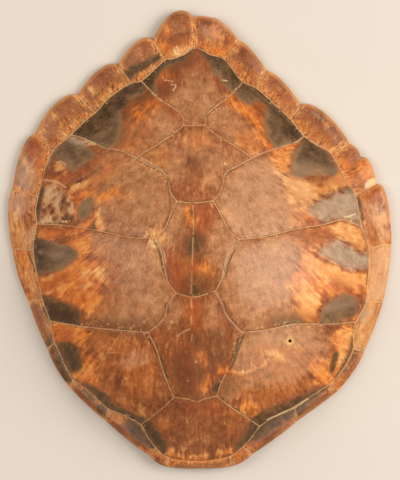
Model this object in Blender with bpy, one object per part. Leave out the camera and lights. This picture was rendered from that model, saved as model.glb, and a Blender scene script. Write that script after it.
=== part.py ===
"""A sea turtle's carapace: the upper shell alone, lying on its rim with the hollow side down.

The shell is one piece, bone under plates of horn (scutes) that grew together with it, so it is
one solid. Its outer face is a low dome with the seams of 5 vertebral scutes along the middle,
4 costal scutes on each side, 12 marginal scutes on each side of the rim and the nuchal scute at
the head end. The inner face is hollow, with the backbone and eight pairs of ribs in low relief.

Frame: metres, +Z up, +Y towards the tail, origin on the table under the middle of the shell.
Left is -X and right is +X, as seen from above with the tail away from the viewer.
"""

import math

import bmesh
import bpy
import numpy as np
from mathutils import Vector, geometry, kdtree

# ---- driving sizes, in metres ----

LENGTH = 0.560  # from the nuchal edge to the longer tail scute
CROWN_HEIGHT = 0.125  # top of the dome above the table
WALL = 0.0055  # horn and bone together, square to the surface
LIP_HEIGHT = 0.0090  # top of the rim above the foot of the rim
LIP_RADIUS = 0.0048  # rounding of the rim's outer edge
FOOT_INSET = 0.0034, 0.0082  # the flat foot of the rim lies between these, in from the edge

# Values for the head end, the flanks and the tail end; in between they pass smoothly.
GIRDLE_HEIGHT = 0.034, 0.031, 0.024  # of the seam between the costals and the rim scutes
STEEPNESS = 0.75, 0.30, 0.0  # share of the drop that comes late, near the girdle
RIM_BULGE = 0.0025, 0.0, -0.0025  # of the rim scutes: full at the head, guttered at the tail
HEAD_ARCH = 0.010  # how far the rim lifts over the neck
TAIL_ARCH = 0.004  # and under the tail notch

SEAM_HALF_WIDTH, SEAM_DEPTH = 0.0022, 0.0011
KEEL_HALF_WIDTH, KEEL_RISE = 0.013, 0.0007
PIT_RADIUS, PIT_DEPTH = 0.0021, 0.0028
SPINE_HALF_WIDTH, SPINE_DEPTH = 0.012, 0.006
RIB_HALF_WIDTH, RIB_DEPTH = 0.009, 0.0016

# Spacing of the mesh's points
SEAM_STEP, RIM_STEP, RIM_ROW_STEP, TURN_STEP = 0.0098, 0.0082, 0.0095, 0.0110
OUTER_FILL, INNER_FILL = 0.0150, 0.0150
RIM_ROWS = 0.27, 0.52, 0.76  # of the way from the girdle to the edge
RIM_ROW_ROOM = 0.0045  # the least room on either side of such a row
KEEL_ROWS = np.array((0, -0.5, 0.5, -1, 1))  # in half widths of the keel
TURN_ROWS = 0.0, 0.33, 0.67  # of the way from the turn of the inner face to the foot

# ---- landmarks, in pixels of a 400 x 480 picture taken from straight above, tail at the top ----

PICTURE_MIDDLE = 199.8, 239.2
SHELL_PIXELS = 455.8  # the shell's length in the picture, taken back to the table's level
METRES_PER_PIXEL = LENGTH / SHELL_PIXELS
LENS_HEIGHT = 2.4  # metres above the table; what stands nearer to the lens is drawn further out
DOME_CENTRE = 197.0, 262.0

# Corners where scutes meet: v for vertebral, c for costal, counted from the head
CORNERS = {
    "v5_tail": (196, 48),
    "v5_left": (141, 81),
    "v5_right": (243, 82),
    "v5_v4_left": (184, 125.5),
    "v5_v4_right": (205, 125),
    "v4_left": (136, 158),
    "v4_right": (252, 158),
    "v4_v3_left": (177, 201.5),
    "v4_v3_right": (213, 201),
    "v3_left": (156, 238),
    "v3_right": (239, 239.5),
    "v3_v2_left": (176, 293),
    "v3_v2_right": (215.5, 291),
    "v2_left": (148, 332.5),
    "v2_right": (242, 332.5),
    "v2_v1_left": (174, 397),
    "v2_v1_right": (217, 396),
    "v1_left": (141, 425),
    "v1_right": (260, 426.5),
    "c4_c3_left": (71, 134.5),
    "c4_c3_right": (304, 136),
    "c3_c2_left": (37, 224),
    "c3_c2_right": (361.5, 227),
    "c2_c1_left": (50, 321),
    "c2_c1_right": (356, 322),
}

# Seams inside the girdle: a corner, the points that the seam's bends need, a corner
SEAMS = (
    ("v5_left", (152, 92), (164, 102), (176, 110), (182.5, 117), "v5_v4_left"),
    ("v5_right", (236, 90), (226, 99), (214, 108), (207, 115), "v5_v4_right"),
    ("v5_v4_left", (191, 125.8), "v5_v4_right"),
    ("v5_v4_left", (173, 134.5), (152, 148), "v4_left"),
    ("v5_v4_right", (216, 134.5), (237, 147.5), "v4_right"),
    ("c4_c3_left", (88, 140), (105, 148), (121, 151), "v4_left"),
    ("c4_c3_right", (296, 142), (281, 147), (265, 152.5), "v4_right"),
    ("v4_left", (149, 165), (163, 172), (168.5, 183), (171, 193), "v4_v3_left"),
    ("v4_right", (238, 166), (226, 173), (223, 184), (219, 194), "v4_v3_right"),
    ("v4_v3_left", (194, 203), "v4_v3_right"),
    ("v4_v3_left", (171, 214), (165, 228), "v3_left"),
    ("v4_v3_right", (219, 211), (229, 230), "v3_right"),
    ("c3_c2_left", (60, 225), (80, 227.5), (107, 232.5), (130, 237.5), "v3_left"),
    ("c3_c2_right", (343, 219.5), (322, 225), (296, 229), (266, 236.5), "v3_right"),
    ("v3_left", (161, 250), (164, 264), (168, 281), "v3_v2_left"),
    ("v3_right", (230, 250), (225, 263), (222, 278), "v3_v2_right"),
    ("v3_v2_left", (194, 297), "v3_v2_right"),
    ("v3_v2_left", (167.5, 305), (165, 316), (158, 325), "v2_left"),
    ("v3_v2_right", (222, 303), (226.5, 315), (235, 325), "v2_right"),
    ("c2_c1_left", (78, 326), (107, 329), "v2_left"),
    ("c2_c1_right", (330, 324), (295, 324), (266, 330), "v2_right"),
    ("v2_left", (156, 348), (162, 367), (168, 384), "v2_v1_left"),
    ("v2_right", (236, 349), (230, 366), (221, 383), "v2_v1_right"),
    ("v2_v1_left", (188, 399), (197, 401.5), (206, 398.5), "v2_v1_right"),
    ("v2_v1_left", (164, 407), "v1_left"),
    ("v2_v1_right", (228, 405), (246, 417), "v1_right"),
)

# The rim on each side, from the tail notch to the head: a corner of the outline, the inner end
# of the seam that starts there (None at a break in the edge), then how far the edge bulges
# before the next corner and how evenly. A low evenness puts the bulge near the tail side.
RIM_LEFT = (
    ((193, 17), (196, 48), 13.8, 0.50),
    ((153, 40.5), (165, 60), 8.5, 0.40),
    ((117.5, 65), (132, 83), 7.4, 0.50),
    ((77.5, 94.7), (95, 113), 8.4, 0.60),
    ((34.5, 134.2), (53, 151), 6.0, 0.50),
    ((12.3, 189.5), (38, 197), 4.3, 0.60),
    ((12.3, 249), (33, 250), 2.3, 1.0),
    ((28.3, 300.5), (42.5, 300), 1.1, 1.0),
    ((47, 348), (55, 343.5), 2.2, 1.0),
    ((70, 387.5), (73, 379.5), 1.1, 1.0),
    ((105, 420), (108, 408.5), 1.4, 1.0),
    ((150, 456), (156, 448), 2.4, 1.0),
    ((169, 467), (167, 457), 0.9, 1.0),
)
RIM_RIGHT = (
    ((193, 17), (196, 48), 1.5, 0.70),
    ((213, 18), None, 2.9, 0.50),
    ((240, 41), (224, 59), 2.7, 0.50),
    ((267, 71), (257, 88.5), 4.0, 0.60),
    ((301, 105), (290, 119), 8.6, 0.55),
    ((350, 143.5), (330, 152.5), 2.2, 1.0),
    ((361, 157.5), None, 5.5, 0.40),
    ((376.5, 184), (355.5, 195), 6.8, 0.35),
    ((391.5, 244), (368.5, 248), 1.2, 1.0),
    ((383, 302.5), (366, 301), 0.9, 1.0),
    ((364, 351.3), (353, 349), 2.8, 0.80),
    ((335.5, 393), (332, 383), 0.3, 1.0),
    ((298, 420.5), (295, 408), 1.0, 1.0),
    ((252, 454.5), (243, 446.5), 1.8, 1.0),
    ((231, 466.5), (231, 456), 0.9, 1.0),
)
NUCHAL_EDGE = 199.5, 468.4

# The girdle: the closed seam between the costals and the rim scutes, from the tail down the
# left side, round the head end and up the right side
GIRDLE = (
    "v5_tail", (183, 55), (172, 59), (165, 60), (153, 71), "v5_left", (132, 83), (119, 90.5),
    (108, 99), (95, 113), (84, 122), "c4_c3_left", (61, 143.5), (53, 151), (46.5, 165),
    (42, 181), (38, 197), (35.5, 210), "c3_c2_left", (34.5, 237), (33, 250), (35, 265),
    (39, 283), (42.5, 300), "c2_c1_left", (51.5, 331), (55, 343.5), (60.5, 356), (66, 368),
    (73, 379.5), (83, 387), (95, 397), (108, 408.5), (124, 415.5), "v1_left", (147, 436),
    (156, 448), (167, 457), (182, 460.5), (199, 461.5), (216, 459.5), (231, 456),
    (243, 446.5), (252, 437), "v1_right", (277, 417), (295, 408), (310, 398), (322, 390),
    (332, 383), (341, 372), (348.5, 360), (353, 349), (353.5, 335), "c2_c1_right", (362, 311),
    (366, 301), (367.5, 286), (369, 268), (368.5, 248), (366, 237), "c3_c2_right",
    (359, 212), (355.5, 195), (349, 185), (340, 169), (330, 152.5), (317, 145),
    "c4_c3_right", (290, 119), (274, 104), (257, 88.5), "v5_right", (233, 70), (224, 59),
    (210, 54.5),
)
KEEL = (193, 137), (193.5, 205), (192, 290), (191, 335), (193, 392)
PIT = 290, 341  # a small round pit in the first costal on the right
SPINE = (194, 78), (193, 200), (192, 320), (195, 440)

# The ribs on the inner face: where each pair leaves the backbone, and how far towards the tail
# its ends have swept by the time they reach the girdle
RIBS = (
    (425, -26), (378, -12), (332, -2), (286, 6), (240, 14), (196, 24), (152, 32), (112, 38),
)
RIB_ROOT = 0.010  # where a rib comes clear of the backbone
RIB_REACH = 0.90  # of the way to the girdle

LOW_WAVES = 4  # waves kept in the smooth outline that shapes the dome
AROUND = 720  # directions in which the girdle and the rim are measured
FINE_STEP = 0.0006  # spacing of the points used only to measure distances


# ---- from pixels to places ----


def plan(pixel):
    """The place in the picture's plane, in metres, of a pixel or of a named corner."""
    px, py = CORNERS[pixel] if isinstance(pixel, str) else pixel
    return np.array(
        ((px - PICTURE_MIDDLE[0]) * METRES_PER_PIXEL, (PICTURE_MIDDLE[1] - py) * METRES_PER_PIXEL)
    )


def evenly(points, step):
    """The polyline's points again, at equal spacings of about step, both ends kept."""
    points = np.array(points)
    along = np.concatenate(([0], np.cumsum(np.linalg.norm(np.diff(points, axis=0), axis=1))))
    count = max(2, round(along[-1] / step) + 1)
    at = np.linspace(0, along[-1], count)
    return np.stack([np.interp(at, along, points[:, k]) for k in range(2)], axis=1)


def curve_through(points, closed=False):
    """A fine polyline along the smooth (Catmull-Rom) curve through the points."""
    points = [np.asarray(p, float) for p in points]
    if closed:
        points = [points[-1], *points, points[0], points[1]]
    else:
        points = [2 * points[0] - points[1], *points, 2 * points[-1] - points[-2]]
    fine = []
    for a, b, c, d in zip(points, points[1:], points[2:], points[3:]):
        for t in np.linspace(0, 1, 8, endpoint=False):
            fine.append(
                b
                + t / 2 * (c - a)
                + t**2 * (a - 2.5 * b + 2 * c - d / 2)
                + t**3 * (-a / 2 + 1.5 * b - 1.5 * c + d / 2)
            )
    return np.array(fine if closed else [*fine, points[-2]])


def lobe(start, end, bulge, evenness, outward):
    """The edge of one rim scute: steep where it leaves the notch on the tail side, then easing
    down to the next notch. The height along it is t ** evenness * (1 - t), scaled to bulge."""
    t = np.linspace(0, 1, 13)[:, None] ** 1.5
    peak = evenness / (1 + evenness)
    height = bulge * t**evenness * (1 - t) / (peak**evenness * (1 - peak))
    across = np.array((start[1] - end[1], end[0] - start[0]))
    across = across / np.linalg.norm(across) * outward
    return start + t * (end - start) + height * across


def rim_side(table, outward):
    """One side of the outline, from the tail notch to the middle of the nuchal edge."""
    corners = [plan(row[0]) for row in table] + [plan(NUCHAL_EDGE)]
    edge = []
    for (_, _, bulge, evenness), start, end in zip(table, corners, corners[1:]):
        arc = lobe(start, end, bulge * METRES_PER_PIXEL, evenness, outward)
        edge.extend(evenly(arc, RIM_STEP)[:-1])
    return np.array([*edge, corners[-1]])


def outline():
    """The closed outline, anticlockwise from the tail notch."""
    left, right = rim_side(RIM_LEFT, -1), rim_side(RIM_RIGHT, 1)
    return np.concatenate((left, right[-2:0:-1]))


def inward(loop):
    """The unit vectors square to an anticlockwise loop, pointing to its inside."""
    along = np.roll(loop, -1, axis=0) - np.roll(loop, 1, axis=0)
    along /= np.linalg.norm(along, axis=1)[:, None]
    return np.stack((-along[:, 1], along[:, 0]), axis=1)


# ---- the dome ----


class Radii:
    """The distance from the dome's centre to a closed loop, for any direction."""

    def __init__(self, loop, low_waves=None):
        away = loop - plan(DOME_CENTRE)
        angle = np.arctan2(away[:, 1], away[:, 0])
        order = np.argsort(angle)
        self.angles = np.linspace(-math.pi, math.pi, AROUND, endpoint=False)
        self.radii = np.interp(
            self.angles, angle[order], np.linalg.norm(away, axis=1)[order], period=2 * math.pi
        )
        if low_waves is not None:
            waves = np.fft.rfft(self.radii)
            waves[low_waves + 1 :] = 0
            self.radii = np.fft.irfft(waves, AROUND)

    def at(self, angle):
        return np.interp(angle, self.angles, self.radii, period=2 * math.pi)


def by_direction(values, tailward):
    """A value for each direction: the three given for tailward -1 (head), 0 (flank), 1 (tail)."""
    head, flank, tail = values
    return flank + (tail - head) / 2 * tailward + ((tail + head) / 2 - flank) * tailward**2


def smooth_step(x):
    x = np.clip(x, 0, 1)
    return x * x * (3 - 2 * x)


def share_of_way(behind, ahead):
    """How far along a way a point is, from the distances behind it and ahead of it."""
    behind, ahead = np.maximum(behind, 0), np.maximum(ahead, 0)
    return behind / np.maximum(behind + ahead, 1e-9)


class Shell:
    """The heights of the shell's outer and inner faces over the picture's plane."""

    def __init__(self):
        self.edge = outline()
        girdle = curve_through([plan(p) for p in GIRDLE], closed=True)
        seams = [curve_through([plan(p) for p in seam]) for seam in SEAMS]
        for corner, inner, _, _ in (*RIM_LEFT, *RIM_RIGHT[1:]):
            if inner:
                seams.append(np.array((plan(corner), plan(inner))))
        self.seams = [np.concatenate((girdle, girdle[:1])), *seams]
        self.keel = curve_through([plan(p) for p in KEEL])
        self.girdle, self.smooth_girdle = Radii(girdle), Radii(girdle, LOW_WAVES)
        self.rim = Radii(self.edge)
        foot = self.edge + inward(self.edge) * FOOT_INSET[1]
        self.foot = Radii(foot)
        self.spine = curve_through([plan(p) for p in SPINE])
        self.ribs = [self.rib(y, sweep, side) for y, sweep in RIBS for side in (-1, 1)]
        self.to_seam = self.measure(self.seams)
        self.to_edge = self.measure([np.concatenate((self.edge, self.edge[:1]))])
        self.to_foot = self.measure([np.concatenate((foot, foot[:1]))])
        self.to_keel = self.measure([self.keel])
        self.to_spine = self.measure([self.spine])
        self.to_rib = self.measure(self.ribs)

    def rib(self, pixel_y, sweep, side):
        """The middle line of a rib: out from the backbone, bending towards its own end."""
        start = plan((SPINE[1][0], pixel_y)) + np.array((side * RIB_ROOT, 0))
        away = start - plan(DOME_CENTRE) + np.array((side * 0.2, sweep * METRES_PER_PIXEL))
        angle = math.atan2(away[1], away[0])
        reach = RIB_REACH * self.girdle.at(angle)
        end = plan(DOME_CENTRE) + reach * np.array((math.cos(angle), math.sin(angle)))
        elbow = (start + end) / 2 - np.array((0, sweep * METRES_PER_PIXEL / 4))
        return curve_through((start, elbow, end))

    def measure(self, lines):
        """A function that gives the distance from points of the plane to the nearest line."""
        dots = np.concatenate([evenly(line, FINE_STEP) for line in lines])
        tree = kdtree.KDTree(len(dots))
        for i, dot in enumerate(dots):
            tree.insert((*dot, 0), i)
        tree.balance()
        return lambda points: np.array([tree.find((*p, 0))[2] for p in points])

    def polar(self, points):
        away = points - plan(DOME_CENTRE)
        return np.linalg.norm(away, axis=1), np.arctan2(away[:, 1], away[:, 0])

    def dome(self, radius, angle):
        """The smooth dome: a rounded cone towards the tail, a fuller bowl towards the head."""
        tailward = np.sin(angle)
        out = radius / self.smooth_girdle.at(angle)
        round_top = 0.5
        cone = (np.sqrt(round_top**2 + out**2) - round_top) / (math.hypot(round_top, 1) - round_top)
        late = by_direction(STEEPNESS, tailward)
        low = by_direction(GIRDLE_HEIGHT, tailward)
        return CROWN_HEIGHT - (CROWN_HEIGHT - low) * ((1 - late) * cone + late * out**3)

    def foot_height(self, angle):
        """The height of the rim's foot: on the table, but for the arches at both ends."""
        tailward = np.sin(angle)
        neck = smooth_step((-tailward - 0.88) / 0.12)
        tail = smooth_step((tailward - 0.93) / 0.07)
        return HEAD_ARCH * neck + TAIL_ARCH * tail

    def outer(self, points):
        """The outer face: the dome inside the girdle, the rim scutes outside, seams cut in."""
        radius, angle = self.polar(points)
        girdle = self.girdle.at(angle)
        across = share_of_way(radius - girdle, self.to_edge(points) - LIP_RADIUS)
        top, lip = self.dome(girdle, angle), LIP_HEIGHT + self.foot_height(angle)
        bulge = by_direction(RIM_BULGE, np.sin(angle)) * np.sin(math.pi * across)
        height = np.where(
            radius < girdle, self.dome(radius, angle), top + (lip - top) * across + bulge
        )
        groove = np.clip(1 - self.to_seam(points) / SEAM_HALF_WIDTH, 0, 1)
        keel = smooth_step(1 - self.to_keel(points) / KEEL_HALF_WIDTH)
        from_pit = np.linalg.norm(points - plan(PIT), axis=1)
        pit = np.clip(2 - 2 * from_pit / PIT_RADIUS, 0, 1)
        return height - SEAM_DEPTH * groove + KEEL_RISE * keel - PIT_DEPTH * pit

    def turn(self, angle):
        """Where the inner face leaves the dome and starts to fall to the foot."""
        return np.minimum(self.girdle.at(angle), self.foot.at(angle) - 0.015)

    def rim_width(self, points):
        angle = self.polar(points)[1]
        return self.rim.at(angle) - self.girdle.at(angle)

    def row(self, inside, outside, share, step):
        """A closed row of points a given share of the way between two loops about the centre."""
        angle = np.linspace(-math.pi, math.pi, AROUND)
        radius = inside(angle) + share * (outside(angle) - inside(angle))
        around = np.stack((np.cos(angle), np.sin(angle)), axis=1) * radius[:, None]
        return evenly(plan(DOME_CENTRE) + around, step)[:-1]

    def inner(self, points):
        """The inner face: the wall's thickness under the dome, then down to the foot."""
        radius, angle = self.polar(points)
        turn, to_foot = self.turn(angle), self.to_foot(points)
        wall = WALL * (1 + 0.45 * (radius / turn) ** 2)
        top = self.dome(turn, angle) - WALL * 1.45
        fall = share_of_way(radius - turn, to_foot)
        low = self.foot_height(angle)
        height = np.where(
            radius < turn, self.dome(radius, angle) - wall, top + (low - top) * fall
        )
        fade = smooth_step(to_foot / 0.030)
        spine = smooth_step(1 - self.to_spine(points) / SPINE_HALF_WIDTH)
        ribs = smooth_step(1 - self.to_rib(points) / RIB_HALF_WIDTH)
        return height - fade * np.maximum(SPINE_DEPTH * spine, RIB_DEPTH * ribs)


# ---- the mesh ----


def rows_along(line, offsets, step):
    """Rows of points beside a line, one row for each offset from it."""
    middle = evenly(line, step)
    ahead = np.gradient(middle, axis=0)
    ahead /= np.linalg.norm(ahead, axis=1)[:, None]
    side = np.stack((-ahead[:, 1], ahead[:, 0]), axis=1)
    return [middle + side * offset for offset in offsets]


class Plane:
    """Points of the plane for one face of the shell, none too near to another."""

    def __init__(self, border):
        self.border = border
        self.points = list(border)
        self.edges = []

    def clear_of(self, dot, gap):
        near = np.array(self.points) - dot
        return (near * near).sum(axis=1).min() > gap * gap

    def inside(self, dot):
        away = self.border - dot
        turned = np.roll(away, -1, axis=0)
        cross = away[:, 0] * turned[:, 1] - away[:, 1] * turned[:, 0]
        angle = np.arctan2(cross, (away * turned).sum(axis=1))
        return abs(angle.sum()) > math.pi

    def add_line(self, line, gap):
        """A row of points joined by edges that the mesh has to follow."""
        last = None
        for dot in line:
            if not self.inside(dot) or not self.clear_of(dot, gap):
                near = np.linalg.norm(np.array(self.points) - dot, axis=1)
                here = int(near.argmin()) if near.min() < 2 * gap else None
            else:
                here = len(self.points)
                self.points.append(dot)
            if last is not None and here is not None and here != last:
                self.edges.append((last, here))
            last = here

    def add_broken_line(self, line, keep, gap):
        """The kept points of a row, joined by edges wherever two of them follow each other."""
        last = None
        for dot, kept in zip(line, keep):
            if kept and self.inside(dot) and self.clear_of(dot, gap):
                if last is not None:
                    self.edges.append((last, len(self.points)))
                last = len(self.points)
                self.points.append(dot)
            else:
                last = None

    def add_dots(self, dots, gap):
        for dot in dots:
            if self.inside(dot) and self.clear_of(dot, gap):
                self.points.append(dot)

    def fill(self, spacing):
        """Points on a triangular grid wherever there is room."""
        low, high = self.border.min(axis=0), self.border.max(axis=0)
        for row, y in enumerate(np.arange(low[1], high[1], spacing * math.sqrt(3) / 2)):
            shift = spacing / 2 * (row % 2)
            grid = [np.array((x, y)) for x in np.arange(low[0] + shift, high[0], spacing)]
            self.add_dots(grid, spacing * 0.55)

    def triangles(self):
        """The points again and the triangles between them, inside the border."""
        border = list(range(len(self.border)))
        flat = [Vector(p) for p in self.points]
        found = geometry.delaunay_2d_cdt(flat, self.edges, [border], 1, 1e-7)
        return np.array([tuple(p) for p in found[0]]), found[2], found[3]


def outer_plane(shell, border):
    """Rows along every seam and the keel, the rim and the pit, then a fill."""
    plane = Plane(border)
    for seam in shell.seams:
        plane.add_line(evenly(seam, SEAM_STEP), SEAM_STEP * 0.28)
    for seam in shell.seams:
        for beside in rows_along(seam, (-SEAM_HALF_WIDTH, SEAM_HALF_WIDTH), SEAM_STEP):
            clear = shell.to_seam(beside) > SEAM_HALF_WIDTH * 0.9
            clear &= shell.to_edge(beside) > LIP_RADIUS + SEAM_HALF_WIDTH
            plane.add_broken_line(beside, clear, SEAM_HALF_WIDTH * 0.7)
    for row in rows_along(shell.keel, KEEL_HALF_WIDTH * KEEL_ROWS, SEAM_STEP):
        plane.add_dots(row, KEEL_HALF_WIDTH * 0.3)
    for share in RIM_ROWS:
        row = shell.row(shell.girdle.at, shell.rim.at, share, RIM_ROW_STEP)
        room = shell.rim_width(row) * min(share, 1 - share)
        plane.add_dots(row[room > RIM_ROW_ROOM], RIM_ROW_ROOM * 0.8)
    for radius in (PIT_RADIUS / 2, PIT_RADIUS):
        turns = np.linspace(0, 2 * math.pi, 8, endpoint=False)
        ring = np.stack((np.cos(turns), np.sin(turns)), axis=1) * radius
        plane.add_dots(plan(PIT) + ring, PIT_RADIUS * 0.3)
    plane.fill(OUTER_FILL)
    return plane


def inner_plane(shell, border):
    """Rows along the backbone, the ribs and the turn above the foot, then a fill."""
    plane = Plane(border)
    lines = [(shell.spine, SPINE_HALF_WIDTH)] + [(rib, RIB_HALF_WIDTH) for rib in shell.ribs]
    for line, half_width in lines:
        for row in rows_along(line, (0, -half_width, half_width), INNER_FILL):
            plane.add_line(row, half_width * 0.5)
    for share in TURN_ROWS:
        plane.add_dots(shell.row(shell.turn, shell.foot.at, share, TURN_STEP), TURN_STEP * 0.5)
    plane.fill(INNER_FILL)
    return plane


def placed(points, heights):
    """Points in space. One that stands high was seen nearer to the lens, so it is drawn in."""
    scale = 1 - heights / LENS_HEIGHT
    return np.column_stack((points * scale[:, None], heights))


def rim_rings(shell):
    """The rings of points round the rim: over the lip, down the edge and under to the foot.
    Each is (inset from the outline, height)."""
    angle = shell.polar(shell.edge)[1]
    foot = shell.foot_height(angle)
    lip_points = shell.edge + inward(shell.edge) * LIP_RADIUS
    lip = shell.outer(lip_points)
    corner = LIP_RADIUS * (1 - math.sqrt(0.5))
    levels = (
        (LIP_RADIUS, lip),
        (corner, lip - corner),
        (0, foot + LIP_HEIGHT - LIP_RADIUS),
        (FOOT_INSET[0] * 0.3, foot + FOOT_INSET[0] * 0.4),
        (FOOT_INSET[0], foot),
        (FOOT_INSET[1], foot),
    )
    return [(shell.edge + inward(shell.edge) * inset, height) for inset, height in levels]


def face_onto(bm, plane, heights_of, ring, upward):
    """Adds one face of the shell to the mesh. Its border points are the ring's vertices."""
    points, triangles, source = plane.triangles()
    places = placed(points, heights_of(points))
    border = len(ring)
    verts = [
        ring[ids[0]] if ids and ids[0] < border else bm.verts.new(place)
        for ids, place in zip(source, places)
    ]
    for triangle in triangles:
        corners = [verts[i] for i in triangle]
        bm.faces.new(corners if upward else corners[::-1])


def carapace_mesh():
    """The closed mesh: the outer face, the rings of the rim, and the inner face."""
    shell = Shell()
    rings = rim_rings(shell)
    bm = bmesh.new()
    ring_verts = [[bm.verts.new(p) for p in placed(flat, high)] for flat, high in rings]
    for upper, lower in zip(ring_verts, ring_verts[1:]):
        following = zip(upper, upper[1:] + upper[:1], lower[1:] + lower[:1], lower)
        for a, b, c, d in following:
            bm.faces.new((a, d, c, b))
    face_onto(bm, outer_plane(shell, rings[0][0]), shell.outer, ring_verts[0], True)
    face_onto(bm, inner_plane(shell, rings[-1][0]), shell.inner, ring_verts[-1], False)
    bmesh.ops.recalc_face_normals(bm, faces=bm.faces)
    bmesh.ops.triangulate(bm, faces=bm.faces)
    corners = np.array([v.co for v in bm.verts])
    low, high = corners.min(axis=0), corners.max(axis=0)
    middle = Vector(((low[0] + high[0]) / 2, (low[1] + high[1]) / 2, low[2]))
    bmesh.ops.translate(bm, verts=bm.verts, vec=-middle)
    mesh = bpy.data.meshes.new("carapace")
    bm.to_mesh(mesh)
    bm.free()
    return mesh


def horn_material():
    """Polished horn: red-brown, with the soft shine of old varnish."""
    material = bpy.data.materials.new("horn")
    material.use_nodes = True
    surface = material.node_tree.nodes["Principled BSDF"]
    surface.inputs["Base Color"].default_value = (0.33, 0.13, 0.05, 1)
    surface.inputs["Roughness"].default_value = 0.38
    surface.inputs["Metallic"].default_value = 0
    return material


def main():
    for thing in list(bpy.data.objects):
        bpy.data.objects.remove(thing)
    group = bpy.data.collections.new("sea_turtle_carapace")
    bpy.context.scene.collection.children.link(group)
    mesh = carapace_mesh()
    mesh.materials.append(horn_material())
    mesh.shade_smooth()
    mesh.set_sharp_from_angle(angle=math.radians(50))
    carapace = bpy.data.objects.new("carapace", mesh)
    group.objects.link(carapace)


main()
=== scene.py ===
# %% [markdown]
# # A sea turtle's shell
#
# The upper shell (the carapace) of a green sea turtle: bone, covered with plates of horn that are
# called scutes. The horn is see-through brown with darker and golden clouds in it, and it was
# polished. This lesson grows the whole shell as one fine mesh from a map of landmarks, then
# paints it with two materials built of maths nodes, horn outside and bone inside. First the
# plain CAD shell is loaded: it gives the frame.

# %% Load the plain shell
import math

import bpy
import numpy as np
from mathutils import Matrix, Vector, geometry, kdtree, noise


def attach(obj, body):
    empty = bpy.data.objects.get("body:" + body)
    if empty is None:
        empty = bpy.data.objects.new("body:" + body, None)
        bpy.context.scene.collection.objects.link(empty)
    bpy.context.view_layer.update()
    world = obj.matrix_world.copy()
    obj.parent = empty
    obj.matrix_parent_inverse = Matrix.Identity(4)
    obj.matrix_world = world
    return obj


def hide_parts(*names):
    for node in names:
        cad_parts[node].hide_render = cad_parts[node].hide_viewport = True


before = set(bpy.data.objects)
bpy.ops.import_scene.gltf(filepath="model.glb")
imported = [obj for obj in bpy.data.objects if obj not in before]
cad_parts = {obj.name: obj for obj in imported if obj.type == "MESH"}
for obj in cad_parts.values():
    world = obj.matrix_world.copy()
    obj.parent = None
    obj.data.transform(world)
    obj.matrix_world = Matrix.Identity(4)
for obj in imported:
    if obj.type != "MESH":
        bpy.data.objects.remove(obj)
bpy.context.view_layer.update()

# %% [markdown]
# ## The landmarks
#
# A shell like this could be sculpted by eye, but its seams meet at places that are easy to see
# and hard to guess. So the shape starts from a map: corners where the scutes meet, the bends of
# the seams between them, and the notches of the rim. They are in pixels of a picture that is
# 400 wide and 480 high, taken from straight above with the tail at the top. The map is the one
# that the plain shell was made from, so that both have the same outline. Only three points of
# the girdle are set a little finer here.

# %% Sizes, in metres
LENGTH = 0.560  # from the nuchal edge to the longer tail scute
CROWN_HEIGHT = 0.125  # top of the dome above the table
WALL = 0.0055  # horn and bone together
LIP_HEIGHT, LIP_RADIUS = 0.0090, 0.0048  # of the rim, above its foot
FOOT_INSET = 0.0034, 0.0082  # the flat foot of the rim lies between these, in from the edge
GIRDLE_HEIGHT = 0.034, 0.031, 0.024  # at the head, the flanks, the tail
STEEPNESS = 0.75, 0.30, 0.0  # share of the drop that comes late, near the girdle
RIM_BULGE = 0.0025, 0.0, -0.0025  # full at the head, guttered at the tail
HEAD_ARCH, TAIL_ARCH = 0.010, 0.004  # how far the rim lifts over the neck and the tail
PICTURE_MIDDLE = 199.8, 239.2
SHELL_PIXELS = 455.8
METRES_PER_PIXEL = LENGTH / SHELL_PIXELS
LENS_HEIGHT = 2.4  # above the table: what stands nearer to the lens is drawn further out
DOME_CENTRE = 197.0, 262.0
print("a pixel of the map is", round(METRES_PER_PIXEL * 1000, 3), "mm")

# %% Corners where scutes meet: v for vertebral, c for costal, counted from the head
CORNERS = {
    "v5_tail": (196, 48),
    "v5_left": (141, 81),
    "v5_right": (243, 82),
    "v5_v4_left": (184, 125.5),
    "v5_v4_right": (205, 125),
    "v4_left": (136, 158),
    "v4_right": (252, 158),
    "v4_v3_left": (177, 201.5),
    "v4_v3_right": (213, 201),
    "v3_left": (156, 238),
    "v3_right": (239, 239.5),
    "v3_v2_left": (176, 293),
    "v3_v2_right": (215.5, 291),
    "v2_left": (148, 332.5),
    "v2_right": (242, 332.5),
    "v2_v1_left": (174, 397),
    "v2_v1_right": (217, 396),
    "v1_left": (141, 425),
    "v1_right": (260, 426.5),
    "c4_c3_left": (71, 134.5),
    "c4_c3_right": (304, 136),
    "c3_c2_left": (37, 224),
    "c3_c2_right": (361.5, 227),
    "c2_c1_left": (50, 321),
    "c2_c1_right": (356, 322),
}

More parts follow.
